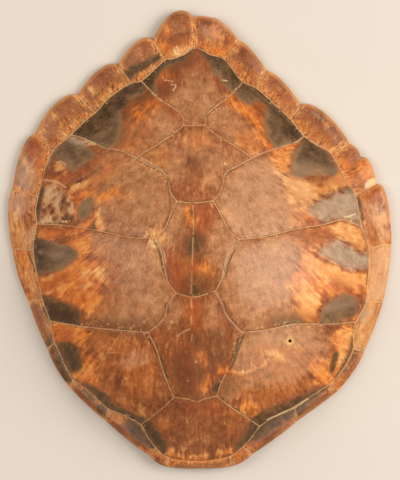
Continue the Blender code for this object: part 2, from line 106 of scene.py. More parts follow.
# %% Seams on the dome: a corner, the bends, a corner
SEAMS = (
    ("v5_left", (152, 92), (164, 102), (176, 110), (182.5, 117), "v5_v4_left"),
    ("v5_right", (236, 90), (226, 99), (214, 108), (207, 115), "v5_v4_right"),
    ("v5_v4_left", (191, 125.8), "v5_v4_right"),
    ("v5_v4_left", (173, 134.5), (152, 148), "v4_left"),
    ("v5_v4_right", (216, 134.5), (237, 147.5), "v4_right"),
    ("c4_c3_left", (88, 140), (105, 148), (121, 151), "v4_left"),
    ("c4_c3_right", (296, 142), (281, 147), (265, 152.5), "v4_right"),
    ("v4_left", (149, 165), (163, 172), (168.5, 183), (171, 193), "v4_v3_left"),
    ("v4_right", (238, 166), (226, 173), (223, 184), (219, 194), "v4_v3_right"),
    ("v4_v3_left", (194, 203), "v4_v3_right"),
    ("v4_v3_left", (171, 214), (165, 228), "v3_left"),
    ("v4_v3_right", (219, 211), (229, 230), "v3_right"),
    ("c3_c2_left", (60, 225), (80, 227.5), (107, 232.5), (130, 237.5), "v3_left"),
    ("c3_c2_right", (343, 219.5), (322, 225), (296, 229), (266, 236.5), "v3_right"),
    ("v3_left", (161, 250), (164, 264), (168, 281), "v3_v2_left"),
    ("v3_right", (230, 250), (225, 263), (222, 278), "v3_v2_right"),
    ("v3_v2_left", (194, 297), "v3_v2_right"),
    ("v3_v2_left", (167.5, 305), (165, 316), (158, 325), "v2_left"),
    ("v3_v2_right", (222, 303), (226.5, 315), (235, 325), "v2_right"),
    ("c2_c1_left", (78, 326), (107, 329), "v2_left"),
    ("c2_c1_right", (330, 324), (295, 324), (266, 330), "v2_right"),
    ("v2_left", (156, 348), (162, 367), (168, 384), "v2_v1_left"),
    ("v2_right", (236, 349), (230, 366), (221, 383), "v2_v1_right"),
    ("v2_v1_left", (188, 399), (197, 401.5), (206, 398.5), "v2_v1_right"),
    ("v2_v1_left", (164, 407), "v1_left"),
    ("v2_v1_right", (228, 405), (246, 417), "v1_right"),
)

# %% The rim on each side, from the tail notch to the head
# Each row: a corner of the outline, the inner end of the seam that starts there (None at a break
# in the edge), how far the edge bulges before the next corner, and how evenly.
RIM_LEFT = (
    ((193, 17), (196, 48), 13.8, 0.50),
    ((153, 40.5), (165, 60), 8.5, 0.40),
    ((117.5, 65), (132, 83), 7.4, 0.50),
    ((77.5, 94.7), (95, 113), 8.4, 0.60),
    ((34.5, 134.2), (53, 151), 6.0, 0.50),
    ((12.3, 189.5), (38, 197), 4.3, 0.60),
    ((12.3, 249), (33, 250), 2.3, 1.0),
    ((28.3, 300.5), (42.5, 300), 1.1, 1.0),
    ((47, 348), (55, 343.5), 2.2, 1.0),
    ((70, 387.5), (73, 379.5), 1.1, 1.0),
    ((105, 420), (108, 408.5), 1.4, 1.0),
    ((150, 456), (156, 448), 2.4, 1.0),
    ((169, 467), (167, 457), 0.9, 1.0),
)
RIM_RIGHT = (
    ((193, 17), (196, 48), 1.5, 0.70),
    ((213, 18), None, 2.9, 0.50),
    ((240, 41), (224, 59), 2.7, 0.50),
    ((267, 71), (257, 88.5), 4.0, 0.60),
    ((301, 105), (290, 119), 8.6, 0.55),
    ((350, 143.5), (330, 152.5), 2.2, 1.0),
    ((361, 157.5), None, 5.5, 0.40),
    ((376.5, 184), (355.5, 195), 6.8, 0.35),
    ((391.5, 244), (368.5, 248), 1.2, 1.0),
    ((383, 302.5), (366, 301), 0.9, 1.0),
    ((364, 351.3), (353, 349), 2.8, 0.80),
    ((335.5, 393), (332, 383), 0.3, 1.0),
    ((298, 420.5), (295, 408), 1.0, 1.0),
    ((252, 454.5), (243, 446.5), 1.8, 1.0),
    ((231, 466.5), (231, 456), 0.9, 1.0),
)
NUCHAL_EDGE = 199.5, 468.4

# %% The girdle, the seam that runs all round inside the rim scutes, and lines on the two faces
GIRDLE = (
    "v5_tail", (183, 55), (172, 59), (165, 60), (153, 71), "v5_left", (132, 83), (119, 90.5),
    (108, 99), (95, 113), (84, 122), "c4_c3_left", (61, 143.5), (53, 151), (46.5, 165),
    (42, 181), (38, 197), (35.5, 210), "c3_c2_left", (34.5, 237), (33, 250), (35, 265),
    (39, 283), (42.5, 300), "c2_c1_left", (51.5, 331), (55, 343.5), (60.5, 356), (66, 368),
    (73, 379.5), (83, 387), (95, 397), (108, 408.5), (124, 415.5), "v1_left", (147, 436),
    (156, 448), (167, 457), (182, 460.5), (199, 461.5), (216, 459.5), (231, 456),
    (243, 446.5), (252, 437), "v1_right", (277, 415), (295, 408), (310, 397), (322, 389.5),
    (332, 383), (341, 372), (348.5, 360), (353, 349), (353.5, 335), "c2_c1_right", (362, 311),
    (366, 301), (367.5, 286), (369, 268), (368.5, 248), (366, 237), "c3_c2_right",
    (359, 212), (355.5, 195), (349, 185), (340, 169), (330, 152.5), (317, 145),
    "c4_c3_right", (290, 119), (274, 104), (257, 88.5), "v5_right", (233, 70), (224, 59),
    (210, 54.5),
)
KEEL = (193, 137), (193.5, 205), (192, 290), (191, 335), (193, 392)
PIT = 290, 341
SPINE = (194, 78), (193, 200), (192, 320), (195, 440)
RIBS = (
    (425, -26), (378, -12), (332, -2), (286, 6), (240, 14), (196, 24), (152, 32), (112, 38),
)  # where each pair leaves the backbone, and its sweep towards the tail
print(len(CORNERS), "corners,", len(SEAMS), "seams,", len(RIM_LEFT) + len(RIM_RIGHT), "notches")

# %% [markdown]
# ## From the map to curves
#
# Every curve here goes through its landmarks as a Catmull-Rom curve, which needs no handles: a
# list of points is enough. Blender's own curve objects could do it too, but plain arrays of
# points are quicker to measure distances from, and most of the shell's shape is a function of
# how far a point is from a seam or from the edge.

# %% Pixels, places and polylines
def plan(pixel):
    """The place in the picture's plane, in metres, of a pixel or of a named corner."""
    px, py = CORNERS[pixel] if isinstance(pixel, str) else pixel
    return np.array((px - PICTURE_MIDDLE[0], PICTURE_MIDDLE[1] - py)) * METRES_PER_PIXEL


def pixels(points):
    """Places in the picture's plane as pixels again."""
    across, up = points[:, 0] / METRES_PER_PIXEL, points[:, 1] / METRES_PER_PIXEL
    return np.column_stack((PICTURE_MIDDLE[0] + across, PICTURE_MIDDLE[1] - up))


def lengths_along(points):
    steps = np.linalg.norm(np.diff(points, axis=0), axis=1)
    return np.concatenate(([0], np.cumsum(steps)))


def points_at(points, lengths):
    """The points of a polyline at the given lengths along it."""
    along = lengths_along(points)
    return np.stack([np.interp(lengths, along, points[:, k]) for k in range(2)], axis=1)


def evenly(points, step):
    """The polyline's points again, at equal spacings of about step, both ends kept."""
    points = np.array(points)
    total = lengths_along(points)[-1]
    return points_at(points, np.linspace(0, total, max(2, round(total / step) + 1)))


PIECES = 8  # of a curve, from one of its points to the next


def curve_through(points, closed=False, pieces=PIECES):
    """A fine polyline along the smooth curve through the points."""
    points = [np.asarray(p, float) for p in points]
    if closed:
        points = [points[-1], *points, points[0], points[1]]
    else:
        points = [2 * points[0] - points[1], *points, 2 * points[-1] - points[-2]]
    t = np.linspace(0, 1, pieces, endpoint=False)[:, None]
    fine = []
    for a, b, c, d in zip(points, points[1:], points[2:], points[3:]):
        cubic = -a / 2 + 1.5 * b - 1.5 * c + d / 2
        fine.extend(b + t / 2 * (c - a) + t**2 * (a - 2.5 * b + 2 * c - d / 2) + t**3 * cubic)
    return np.array(fine if closed else [*fine, points[-2]])


print("the crown lies at", plan(DOME_CENTRE).round(4))

# %% [markdown]
# ## The lobed edge
#
# Towards the tail each rim scute ends in a lobe that stands out over the next one. Each lobe is
# one curve between two notches, steep on the tail side, and two extra points close to each notch
# keep it crisp.

# %% The outline
EDGE_STEP = 0.0028
NOTCH_ROOM = 0.0007, 0.0016  # extra points this far from each notch
NOTCH_CLEAR = 0.003  # the evenly spaced points keep this far off
LOBE_POINTS, CROWDING = 33, 1.5  # of a lobe's curve, and how they crowd at its steep end


def lobe(start, end, bulge, evenness, outward):
    """The edge of one rim scute. Its height is t ** evenness * (1 - t), scaled to bulge."""
    t = np.linspace(0, 1, LOBE_POINTS)[:, None] ** CROWDING
    peak = evenness / (1 + evenness)
    height = bulge * t**evenness * (1 - t) / (peak**evenness * (1 - peak))
    across = np.array((start[1] - end[1], end[0] - start[0]))
    across = across / np.linalg.norm(across) * outward
    return start + t * (end - start) + height * across


def crisp_ends(arc):
    """The arc's points at even spacings, with extra ones close to both ends."""
    total = lengths_along(arc)[-1]
    middle = np.arange(1, max(2, round(total / EDGE_STEP))) * EDGE_STEP
    middle = middle[(middle > NOTCH_CLEAR) & (middle < total - NOTCH_CLEAR)]
    near = np.array(NOTCH_ROOM)
    return points_at(arc, np.concatenate(([0], near, middle, total - near[::-1], [total])))


def rim_side(table, outward):
    """One side of the outline, and where in it each row's corner is."""
    ends = [plan(row[0]) for row in table] + [plan(NUCHAL_EDGE)]
    edge, starts = [], []
    for (_, _, bulge, evenness), start, end in zip(table, ends, ends[1:]):
        starts.append(len(edge))
        edge.extend(crisp_ends(lobe(start, end, bulge * METRES_PER_PIXEL, evenness, outward))[:-1])
    return np.array([*edge, ends[-1]]), starts


left_side, left_starts = rim_side(RIM_LEFT, -1)
right_side, right_starts = rim_side(RIM_RIGHT, 1)
EDGE = np.concatenate((left_side, right_side[-2:0:-1]))
NOTCHES = list(left_starts)  # the place in EDGE of each row's corner, left rows, then right rows
NOTCHES += [(len(EDGE) - start) % len(EDGE) for start in right_starts]
print(len(EDGE), "points along the edge")

# %% [markdown]
# ## The dome
#
# The dome is a height for every place of the map. It could be a subdivided cage pulled into
# shape, but then the seams would not lie where the map says. As a function it is exact: a
# rounded cone towards the tail, a fuller bowl towards the head, and outside the girdle the rim
# scutes slope on to the lip. Distances come from a k-d tree, which finds the nearest of many
# dots along a line very fast.

# %% Loops seen from the dome's centre, and distances
AROUND = 1440  # directions in which a loop is measured
LOW_WAVES = 4  # kept in the smooth girdle that shapes the dome


class Radii:
    """The distance from the dome's centre to a closed loop, for any direction."""

    def __init__(self, loop, low_waves=None):
        away = loop - plan(DOME_CENTRE)
        angle = np.arctan2(away[:, 1], away[:, 0])
        order = np.argsort(angle)
        self.angles = np.linspace(-math.pi, math.pi, AROUND, endpoint=False)
        far = np.linalg.norm(away, axis=1)[order]
        self.radii = np.interp(self.angles, angle[order], far, period=2 * math.pi)
        if low_waves is not None:
            waves = np.fft.rfft(self.radii)
            waves[low_waves + 1 :] = 0
            self.radii = np.fft.irfft(waves, AROUND)

    def at(self, angle):
        return np.interp(angle, self.angles, self.radii, period=2 * math.pi)


def measure(lines, spacing=0.0006):
    """A function that gives the distance from points of the plane to the nearest line."""
    dots = np.concatenate([evenly(line, spacing) for line in lines])
    tree = kdtree.KDTree(len(dots))
    for i, dot in enumerate(dots):
        tree.insert((*dot, 0), i)
    tree.balance()
    return lambda points: np.array([tree.find((*p, 0))[2] for p in points.tolist()])


def closed(loop):
    return np.concatenate((loop, loop[:1]))


def inward(loop, spread):
    """Unit vectors pointing to the loop's inside, smoothed over about spread points."""
    ahead = np.roll(loop, -1, axis=0) - np.roll(loop, 1, axis=0)
    reach = np.arange(-3 * spread, 3 * spread + 1)
    weights = np.exp(-((reach / spread) ** 2) / 2)
    smooth = sum(w * np.roll(ahead, s, axis=0) for w, s in zip(weights, reach))
    smooth /= np.linalg.norm(smooth, axis=1)[:, None]
    return np.stack((-smooth[:, 1], smooth[:, 0]), axis=1)


# %% Seams as lines that end exactly at their corners
girdle_curve = curve_through([plan(p) for p in GIRDLE], closed=True)
INWARD = inward(EDGE, spread=4)
BORDER = EDGE + INWARD * LIP_RADIUS
FOOT = EDGE + INWARD * FOOT_INSET[1]


def girdle_pieces():
    """The girdle cut at every corner and at the inner end of every cross seam."""
    joints = {tuple(row[1]) for row in (*RIM_LEFT, *RIM_RIGHT) if row[1]}
    named = [isinstance(p, str) or p in joints for p in GIRDLE]
    cuts = [PIECES * i for i, cut in enumerate(named) if cut]
    loop = closed(girdle_curve)
    first = cuts[0]
    return [loop[a : b + 1] for a, b in zip(cuts, cuts[1:] + [len(loop) - 1 + first])]


def cross_seams():
    """The seams between the rim scutes: from the girdle to the border, and the notch's place."""
    left = len(RIM_LEFT)
    rows = list(zip((*RIM_LEFT, *RIM_RIGHT[1:]), [*NOTCHES[:left], *NOTCHES[left + 1 :]]))
    return [(np.array((plan(row[1]), BORDER[at])), at) for row, at in rows if row[1]]


CROSS_SEAMS = cross_seams()
DOME_SEAMS = [curve_through([plan(p) for p in seam]) for seam in SEAMS]
to_seam = measure([*girdle_pieces(), *DOME_SEAMS, *(line for line, _ in CROSS_SEAMS)])
to_cross_seam = measure([np.array((line[0], EDGE[at])) for line, at in CROSS_SEAMS])
to_edge = measure([closed(EDGE)])
to_foot = measure([closed(FOOT)])
to_keel = measure([curve_through([plan(p) for p in KEEL])])
girdle, smooth_girdle = Radii(girdle_curve), Radii(girdle_curve, LOW_WAVES)
rim, foot_loop = Radii(EDGE), Radii(FOOT)
print(len(CROSS_SEAMS), "cross seams,", len(girdle_pieces()), "pieces of the girdle")

# %% The smooth dome
ROUND_TOP = 0.5  # how blunt the cone of the dome is
NECK_FROM, TAIL_FROM = 0.88, 0.93  # the arches begin where the sine of the direction passes these


def by_direction(values, tailward):
    """A value for each direction: the three given for the head, the flank and the tail."""
    head, flank, tail = values
    return flank + (tail - head) / 2 * tailward + ((tail + head) / 2 - flank) * tailward**2


def smooth_step(x):
    x = np.clip(x, 0, 1)
    return x * x * (3 - 2 * x)


def share_of_way(behind, ahead):
    """How far along a way a point is, from the distances behind it and ahead of it."""
    behind, ahead = np.maximum(behind, 0), np.maximum(ahead, 0)
    return behind / np.maximum(behind + ahead, 1e-9)


def polar(points):
    away = points - plan(DOME_CENTRE)
    return np.linalg.norm(away, axis=1), np.arctan2(away[:, 1], away[:, 0])


def dome(radius, angle):
    """The height of the smooth dome."""
    tailward = np.sin(angle)
    out = radius / smooth_girdle.at(angle)
    cone = (np.sqrt(ROUND_TOP**2 + out**2) - ROUND_TOP) / (math.hypot(ROUND_TOP, 1) - ROUND_TOP)
    late = by_direction(STEEPNESS, tailward)
    low = by_direction(GIRDLE_HEIGHT, tailward)
    return CROWN_HEIGHT - (CROWN_HEIGHT - low) * ((1 - late) * cone + late * out**3)


def foot_height(angle):
    """The rim's foot is on the table, but for the arches at both ends."""
    tailward = np.sin(angle)
    neck = smooth_step((-tailward - NECK_FROM) / (1 - NECK_FROM))
    tail = smooth_step((tailward - TAIL_FROM) / (1 - TAIL_FROM))
    return HEAD_ARCH * neck + TAIL_ARCH * tail


print("the dome drops from", CROWN_HEIGHT, "to", by_direction(GIRDLE_HEIGHT, 0), "at the flanks")

# %% [markdown]
# ## Fine relief
#
# Looked at closely the horn is not one smooth skin. Every scute is a little fuller than its
# seams, each rim scute laps over the next one and is hollow behind its lip, a patch on the left
# flank has dried into wrinkles, and there are a scar, a crack, scratches and a small round pit.
# A bump map could fake these, but bumps vanish along the silhouette and in raking light, so
# they are moved points of the mesh. Each mark is a stroke: a line with a half width in pixels
# and a height in tenths of a millimetre. The same strokes are painted later.

# %% Strokes: scute, paint, half width in pixels, height in tenths of a millimetre, the line
STROKES = (
    # Dark strokes sunk along a seam or the girdle are painted shadow in its groove
    ("C3L", "crack", 0.7, -12, (75.5, 182.8), (79, 181.2), (82.5, 178.2)),
    ("C3L", "crack", 0.4, -6, (80, 180), (81, 183)),
    ("C3L", "cream", 1.5, 3, (86.5, 140), (91, 141), (95, 143.5)),
    ("C3L", "red", 1.4, 1, (80, 138), (84, 141)),
    ("C3L", "dark", 0.7, -6, (42, 193), (45, 199), (43.5, 206)),
    ("C3L", "wear", 0.8, 10, (43, 208), (48, 204), (54, 201), (59, 197)),
    ("C3L", "peach", 1.2, 6, (48, 187.5), (56, 187.5), (64, 191)),
    ("C3L", "amber", 1.3, 8, (73, 221), (74, 213), (76, 205), (83, 199)),
    ("C3L", "dark", 0.6, -5, (50, 212), (55, 209.5), (57.5, 205)),
    ("C3L", "wear", 0.8, 4, (76.5, 185), (80, 183.5)),
    ("C3L", "wear", 1.0, 6, (44, 180), (50, 180.6), (58, 182.5), (66, 187.5)),
    ("C3L", "grey", 0.6, 3, (58, 147), (52, 155), (47, 166)),
    ("C3L", "dark", 1.2, -10, (56, 149), (50.5, 159), (46, 172)),
    ("C3L", "dark", 2.7, -13, (42, 190), (39.5, 200), (38, 210), (37.5, 219)),
    ("C3L", "wear", 0.7, 5, (41, 222.5), (45, 220), (50, 220.4), (54, 222)),
    ("C3L", "wear", 0.6, 4, (60, 221), (62.5, 221.5)),
    ("C3L", "wear", 0.4, 5, (60, 194), (60.4, 203), (59, 212), (59.5, 220)),
    ("C3L", "red", 1.6, -6, (43, 213), (50, 213), (55, 210)),
    ("C3L", "wear", 0.9, 4, (57, 163), (61, 161.5), (66, 165)),
    ("C2L", "dark", 0.9, -8, (37.5, 226), (36, 236), (34.8, 243)),
    ("C2L", "peach", 1.5, 2, (79, 279), (88, 273), (97, 270)),
    ("C2L", "peach", 1.4, 2, (77, 287), (86, 286), (95, 284)),
    ("C2L", "red", 1.8, -2, (45, 285), (56, 280), (68, 273)),
    ("C2L", "peach", 1.2, 2, (41, 280), (47, 278), (52, 275)),
    ("C2L", "peach", 1.0, 2, (48, 293), (56, 289), (64, 284)),
    ("C2L", "red", 1.4, -2, (66, 296), (76, 291), (84, 284)),
    ("C1R", "faint", 1.2, -4, (230, 374), (242, 377), (254, 375), (263, 370)),
    ("C1R", "peach", 2.0, 8, (236, 373), (246, 372.5), (256, 369.5), (262, 366), (268, 360.5)),
    ("C1R", "wear", 0.5, 6, (242, 373), (250, 371), (258, 368)),
    ("C1R", "wear", 0.6, 6, (250.5, 361.5), (253, 366), (257, 368.5)),
    ("C1R", "peach", 3.0, 6, (267, 353.5), (274, 355), (281, 359)),
    ("C1R", "wear", 1.2, 2, (269, 354.5), (275, 356)),
    ("V2", "amber", 2.6, 8, (204, 388), (207, 379), (214, 374), (227, 371.5)),
    ("C1R", "amber", 2.2, 4, (228, 371.5), (238, 375), (250, 378.5)),
    ("C1R", "dark", 1.1, -5, (243.5, 336), (239, 347), (234.5, 360), (229, 370)),
    ("V2", "dark", 0.9, -4, (239, 338), (235, 350), (231, 362)),
    ("V2", "wear", 0.3, 2, (235.5, 343), (234, 351)),
    ("V2", "dark", 0.5, -1, (188.5, 332), (188, 342)),
    ("V2", "dark", 0.6, -1, (196.5, 331), (195.5, 345)),
    ("V2", "dark", 0.4, -1, (200, 334), (200.5, 347)),
    ("V2", "dark", 1.3, -5, (160, 356), (164, 368), (167, 378)),
    ("C1L", "dark", 0.5, -4, (146.5, 334), (153, 347), (159, 362)),
    ("C2L", "dark", 0.5, -5, (153.5, 241), (159, 251), (162, 264), (165.5, 280)),
    ("C2L", "dark", 0.6, -4, (166, 303), (163.5, 315), (156.5, 324)),
    ("C2R", "dark", 0.6, -4, (223.5, 302), (228, 314), (236, 323.5)),
    ("C3L", "dark", 0.5, -4, (167, 181), (169, 193), (169.5, 212), (164, 227)),
    ("C2R", "wear", 1.1, 4, (238.5, 240.5), (231, 250), (226, 263), (223, 277)),
    ("C2R", "dark", 0.6, -3, (234.5, 250), (228.8, 262), (225.6, 276)),
    ("V3", "wear", 0.9, 3, (157.5, 240), (163, 251), (165.5, 263)),
    ("C1R", "grey", 1.2, -6, (293.5, 364), (294, 365)),
    ("C1R", "cream", 0.8, 3, (267, 419.8), (280, 414), (293.6, 407.6), (308, 398.6)),
    ("M2R", "cream", 0.9, 3, (267, 419.8), (280, 414), (293.6, 407.6), (300, 404)),
    ("M3R", "cream", 0.9, 3, (290, 409), (293.6, 407.6), (308, 398.6)),
    ("C1L", "peach", 1.4, 3, (140, 410), (145, 408)),
    ("V3", "amber", 1.3, 1, (196.5, 265), (198, 274)),
    ("V3", "amber", 1.1, 1, (203.5, 262), (205, 271)),
    ("V3", "red", 1.4, 1, (196, 255), (197, 263)),
    ("V3", "wear", 0.4, 3, (192.6, 205), (193.8, 216)),
    ("V3", "wear", 0.3, 3, (193.7, 220), (193.3, 234)),
    ("V3", "wear", 0.35, 3, (193, 238), (192.6, 252), (192.3, 266)),
    ("V3", "wear", 0.25, 3, (192, 270), (191.6, 281)),
    ("V3", "wear", 0.3, 3, (191.4, 285), (191, 294)),
    ("V2", "wear", 0.4, 3, (191, 299), (191.5, 308)),
    ("V2", "wear", 0.3, 2, (191.2, 316), (191, 324)),
    ("V2", "wear", 0.3, 2, (192, 334), (191.5, 341)),
    ("V2", "wear", 0.6, 3, (178, 336), (184, 331.5), (190, 329)),
    ("V5", "cream", 0.3, -2, (163, 77), (164.5, 81)),
    ("V5", "cream", 0.35, -2, (166, 80), (173, 81.5)),
    ("V5", "cream", 0.35, -2, (171, 84.5), (176, 85.5), (173, 90.5)),
    ("V5", "cream", 0.35, -2, (221.5, 80), (227.5, 81)),
    ("V5", "wear", 0.5, 2, (215, 102), (218, 98)),
    ("V5", "red", 1.2, 2, (203, 57), (208, 68), (216, 80), (228, 93)),
    ("M11L", "dark", 0.7, -5, (124, 79), (134, 73), (144, 68), (154, 61)),
    ("M12L", "cream", 0.9, 3, (174, 50), (177, 54), (184, 55)),
    ("M12L", "cream", 0.6, 3, (177, 47), (179, 52)),
    ("M12L", "amber", 1.0, 2, (168, 30), (167, 38)),
    ("M12L", "faint", 3.0, -2, (169, 41), (178, 37), (187, 33)),
    ("M12L", "amber", 0.8, 2, (184, 29), (185, 35)),
    ("M12R", "amber", 1.3, 2, (206.5, 27), (207.5, 33)),
    ("M12R", "amber", 1.2, 2, (212, 32), (213.5, 38)),
    ("M12R", "amber", 1.1, 2, (219, 40), (220, 46)),
    ("M12R", "amber", 1.2, 2, (228, 38), (234, 42)),
    ("M12R", "red", 1.6, -2, (198, 18.5), (205, 19), (212, 19.5)),
    ("M9R", "grey", 1.0, 4, (313, 112), (317, 116), (323, 120)),
    ("M8R", "cream", 1.8, 3, (367, 184.5), (374.5, 181)),
    ("M8L", "peach", 1.5, 4, (24, 158), (27, 167), (31, 178), (34, 187)),
    ("M7L", "amber", 1.1, 3, (13.5, 214), (17, 227), (23, 243)),
    ("M7L", "peach", 1.6, 3, (17.5, 204), (21, 222), (27, 238)),
    ("M7L", "amber", 1.0, 3, (12.5, 230), (16, 245)),
    ("M2R", "crack", 0.7, -4, (293, 409.5), (297, 414.5), (298.3, 420)),
    ("M8R", "wear", 0.8, -4, (343, 146), (348, 144.5)),
    ("M7R", "wear", 0.8, 2, (381, 192), (384, 200), (382, 206)),
    ("M6L", "dark", 0.7, -7, (29.5, 255), (32, 262), (35, 272)),
    ("M6L", "wear", 0.6, 3, (32, 256), (34.5, 264), (37.5, 276)),
    ("M6L", "wear", 0.5, 3, (28, 262), (31, 272), (36, 288)),
    ("M7R", "dark", 2.0, -9, (357.5, 198), (361, 210), (362, 218)),
    ("M7R", "dark", 0.8, -6, (362, 218), (363.5, 228), (366.5, 238)),
    ("C3R", "dark", 0.8, -6, (348, 187), (354.5, 196), (358, 212)),
    ("C3R", "peach", 1.6, 2, (322, 174), (324.5, 174)),
    ("C3R", "cream", 0.5, 3, (344, 217), (350, 216), (356, 213.5)),
    ("C2R", "dark", 0.6, -7, (364.5, 238), (367.5, 250), (367.8, 268), (366.5, 284)),
    ("C2R", "olive", 1.2, -5, (362.5, 297), (363, 306), (358.5, 319)),
    ("C4R", "dark", 0.9, -6, (258, 91), (273, 105), (289, 120)),
    ("C4L", "wear", 0.6, 3, (152, 93.5), (161, 101)),
    ("V4", "cream", 0.7, 2, (225, 163.6), (225.6, 164.2)),
    ("V4", "wear", 1.0, 4, (139, 157), (151, 163.5), (163, 170.5)),
    ("V4", "dark", 0.5, -4, (165, 176), (170, 187), (172.5, 197)),
    ("V4", "dark", 0.5, -4, (224.5, 177), (220, 190), (215.5, 199)),
    ("C1L", "wear", 0.5, 2, (107, 353), (111, 353), (116, 352.5)),
    ("C1L", "cream", 0.5, 2, (125.5, 378.6), (126, 379.2)),
)
# Small raised grains lie along some seams: scute, paint, the place of each grain
GRAINS = (
    ("C2L", "wear", (82, 324.5), (87, 323), (96, 321.5), (103, 321), (108, 324), (113, 325.5), (118, 324),
     (123, 327), (131, 328.5), (141, 330), (101, 326), (139, 325), (144, 322), (148, 319), (134, 325.5)),
    ("C2R", "wear", (257, 328.5), (262, 327), (275, 325), (279, 324.5), (285, 323), (287, 322)),
    ("C3R", "wear", (247, 237), (255, 235.5), (260, 236), (266, 233), (250, 232), (258, 230)),
    ("V1", "peach", (174, 450), (177, 453.5), (181, 455), (184, 450), (190, 456.5), (193, 455), (199, 456),
     (206, 455.5), (214, 453.5), (217, 455), (219, 451.5), (226, 449), (222, 453)),
    ("C3L", "wear", (127, 228), (134, 229), (120, 224), (111, 224), (146, 232), (152, 234)),
    ("C3L", "cream", (150, 229), (153, 230.5), (147.5, 234), (151, 236.5), (154.5, 233.5), (145, 237),
     (66, 221.5), (69.5, 220.8), (63, 221.5)),
    ("C2L", "cream", (150, 240.5), (153.5, 242), (157, 241), (158, 245.5), (154, 246)),
    ("C1L", "peach", (139, 406), (141, 402), (147, 411), (152, 406), (134, 405), (137, 403), (143, 409)),
    ("V2", "wear", (172, 322), (169, 329), (174, 315), (186, 352), (196, 362), (188, 381)),
)


def stroke_line(points):
    """The fine line of a stroke, in pixels."""
    points = np.array(points, float)
    return points if len(points) < 3 else curve_through(points)


print(len(STROKES), "strokes and", sum(len(row) - 2 for row in GRAINS), "grains")


def to_stroke(spots, line):
    """The distance, in pixels, from spots of the picture to a stroke's line."""
    start, end = line[:-1, None, :], line[1:, None, :]
    way = end - start
    along = ((spots[None] - start) * way).sum(axis=2) / np.maximum((way * way).sum(axis=2), 1e-9)
    nearest = start + np.clip(along, 0, 1)[:, :, None] * way
    return np.linalg.norm(spots[None] - nearest, axis=2).min(axis=0)


def near_line(spots, line, reach):
    """Which spots are in the box round a line, widened by reach."""
    low, high = line.min(axis=0) - reach, line.max(axis=0) + reach
    return np.flatnonzero(((spots > low) & (spots < high)).all(axis=1))


# %% Relief from strokes, grains and wrinkles
WRINKLED = (43, 190), (56, 185), (68, 190), (76, 203), (76, 222), (58, 226), (40, 226), (39, 208)
GRAIN_RADII, GRAIN_HEIGHT = (1.2, 0.7, 1.0, 0.6), 0.00035  # in pixels, in metres
TENTH = 0.0001  # of a millimetre
FOLD_HEIGHT, DRY_SINK = 0.0017, 0.0008  # of the wrinkles, and how far the dry patch has sunk
FOLD_TURN = np.array(((0.9, 0.44), (-0.44, 0.9)))  # the folds run aslant
BROAD_FOLDS, FINE_FOLDS = (0.0095, (1.5, 0.8)), (0.0045, (1.4, 0.8))  # wavelength and squeeze


def inside(points, loop):
    """Which points are inside a closed loop, by counting the edges to the right of each."""
    count = np.zeros(len(points), bool)
    x, y = points[:, 0], points[:, 1]
    for (ax, ay), (bx, by) in zip(loop, np.roll(loop, -1, axis=0)):
        if ay != by:
            spans = (ay > y) != (by > y)
            count ^= spans & (x < (bx - ax) * (y - ay) / (by - ay) + ax)
    return count


def patch_depth(spots, points, reach=16.0):
    """How deep inside a smooth closed patch each spot is, in pixels, negative outside."""
    loop = curve_through(points, closed=True, pieces=4)
    depth = np.full(len(spots), -reach)
    near = near_line(spots, loop, reach)
    if len(near):
        gap = to_stroke(spots[near], closed(loop))
        depth[near] = np.where(inside(spots[near], loop), gap, -gap)
    return np.clip(depth, -reach, reach)


def waves(points, wavelength, squeeze=(1, 1)):
    """Soft random waves between -1 and 1."""
    scaled = points * np.array(squeeze) / wavelength
    return np.array([noise.noise((x, y, 0.5)) for x, y in scaled.tolist()])


def wrinkles(points):
    """How dry and wrinkled the horn is, and where on a fold each point is: 1 on its crest."""
    dry = smooth_step(patch_depth(pixels(points), WRINKLED) / 5)
    fold = np.zeros(len(points))
    at = np.flatnonzero(dry > 0)
    broad = waves(points[at] @ FOLD_TURN, *BROAD_FOLDS)
    fine = waves(points[at] + 0.3, *FINE_FOLDS)
    fold[at] = 2.0 * broad + 0.9 * fine
    return dry, np.clip(fold, -1, 1)


def small_relief(points):
    """Metres added to the outer face by strokes, grains and wrinkles."""
    spots = pixels(points)
    height = np.zeros(len(points))
    for _, _, half_width, rise, *line in STROKES:
        line = stroke_line(line)
        near = near_line(spots, line, 3 * half_width + 1)
        height[near] += rise * TENTH * np.exp(-((to_stroke(spots[near], line) / half_width) ** 2))
    for _, _, *places in GRAINS:
        for i, place in enumerate(places):
            far = np.linalg.norm(spots - place, axis=1)
            height += GRAIN_HEIGHT * np.exp(-((far / GRAIN_RADII[i % 4]) ** 2))
    dry, fold = wrinkles(points)
    return height + dry * (FOLD_HEIGHT * fold - DRY_SINK)


print("relief in the crack", small_relief(plan((79, 181.2))[None]).round(5))

# %% [markdown]
# ## The rim scutes lap like shingles
#
# To shape one rim scute the mesh has to know how far along it a point lies. The cross seams are
# in order round the dome's centre, so the angle of a point, set between the angles of the seams
# before and after it, gives a share from 0 to 1. At its tail end each scute stands proud of the
# next one, and the step fades within a few millimetres.

# %% Where a point lies along its rim scute
def seam_angles():
    """For each cross seam, its angle at the girdle and at the edge, in order round the shell."""
    inner = polar(np.array([line[0] for line, _ in CROSS_SEAMS]))[1]
    outer = polar(np.array([EDGE[at] for _, at in CROSS_SEAMS]))[1]
    outer += 2 * math.pi * np.round((inner - outer) / (2 * math.pi))
    order = np.argsort(inner)
    return inner[order], outer[order]


SEAM_ANGLES = seam_angles()


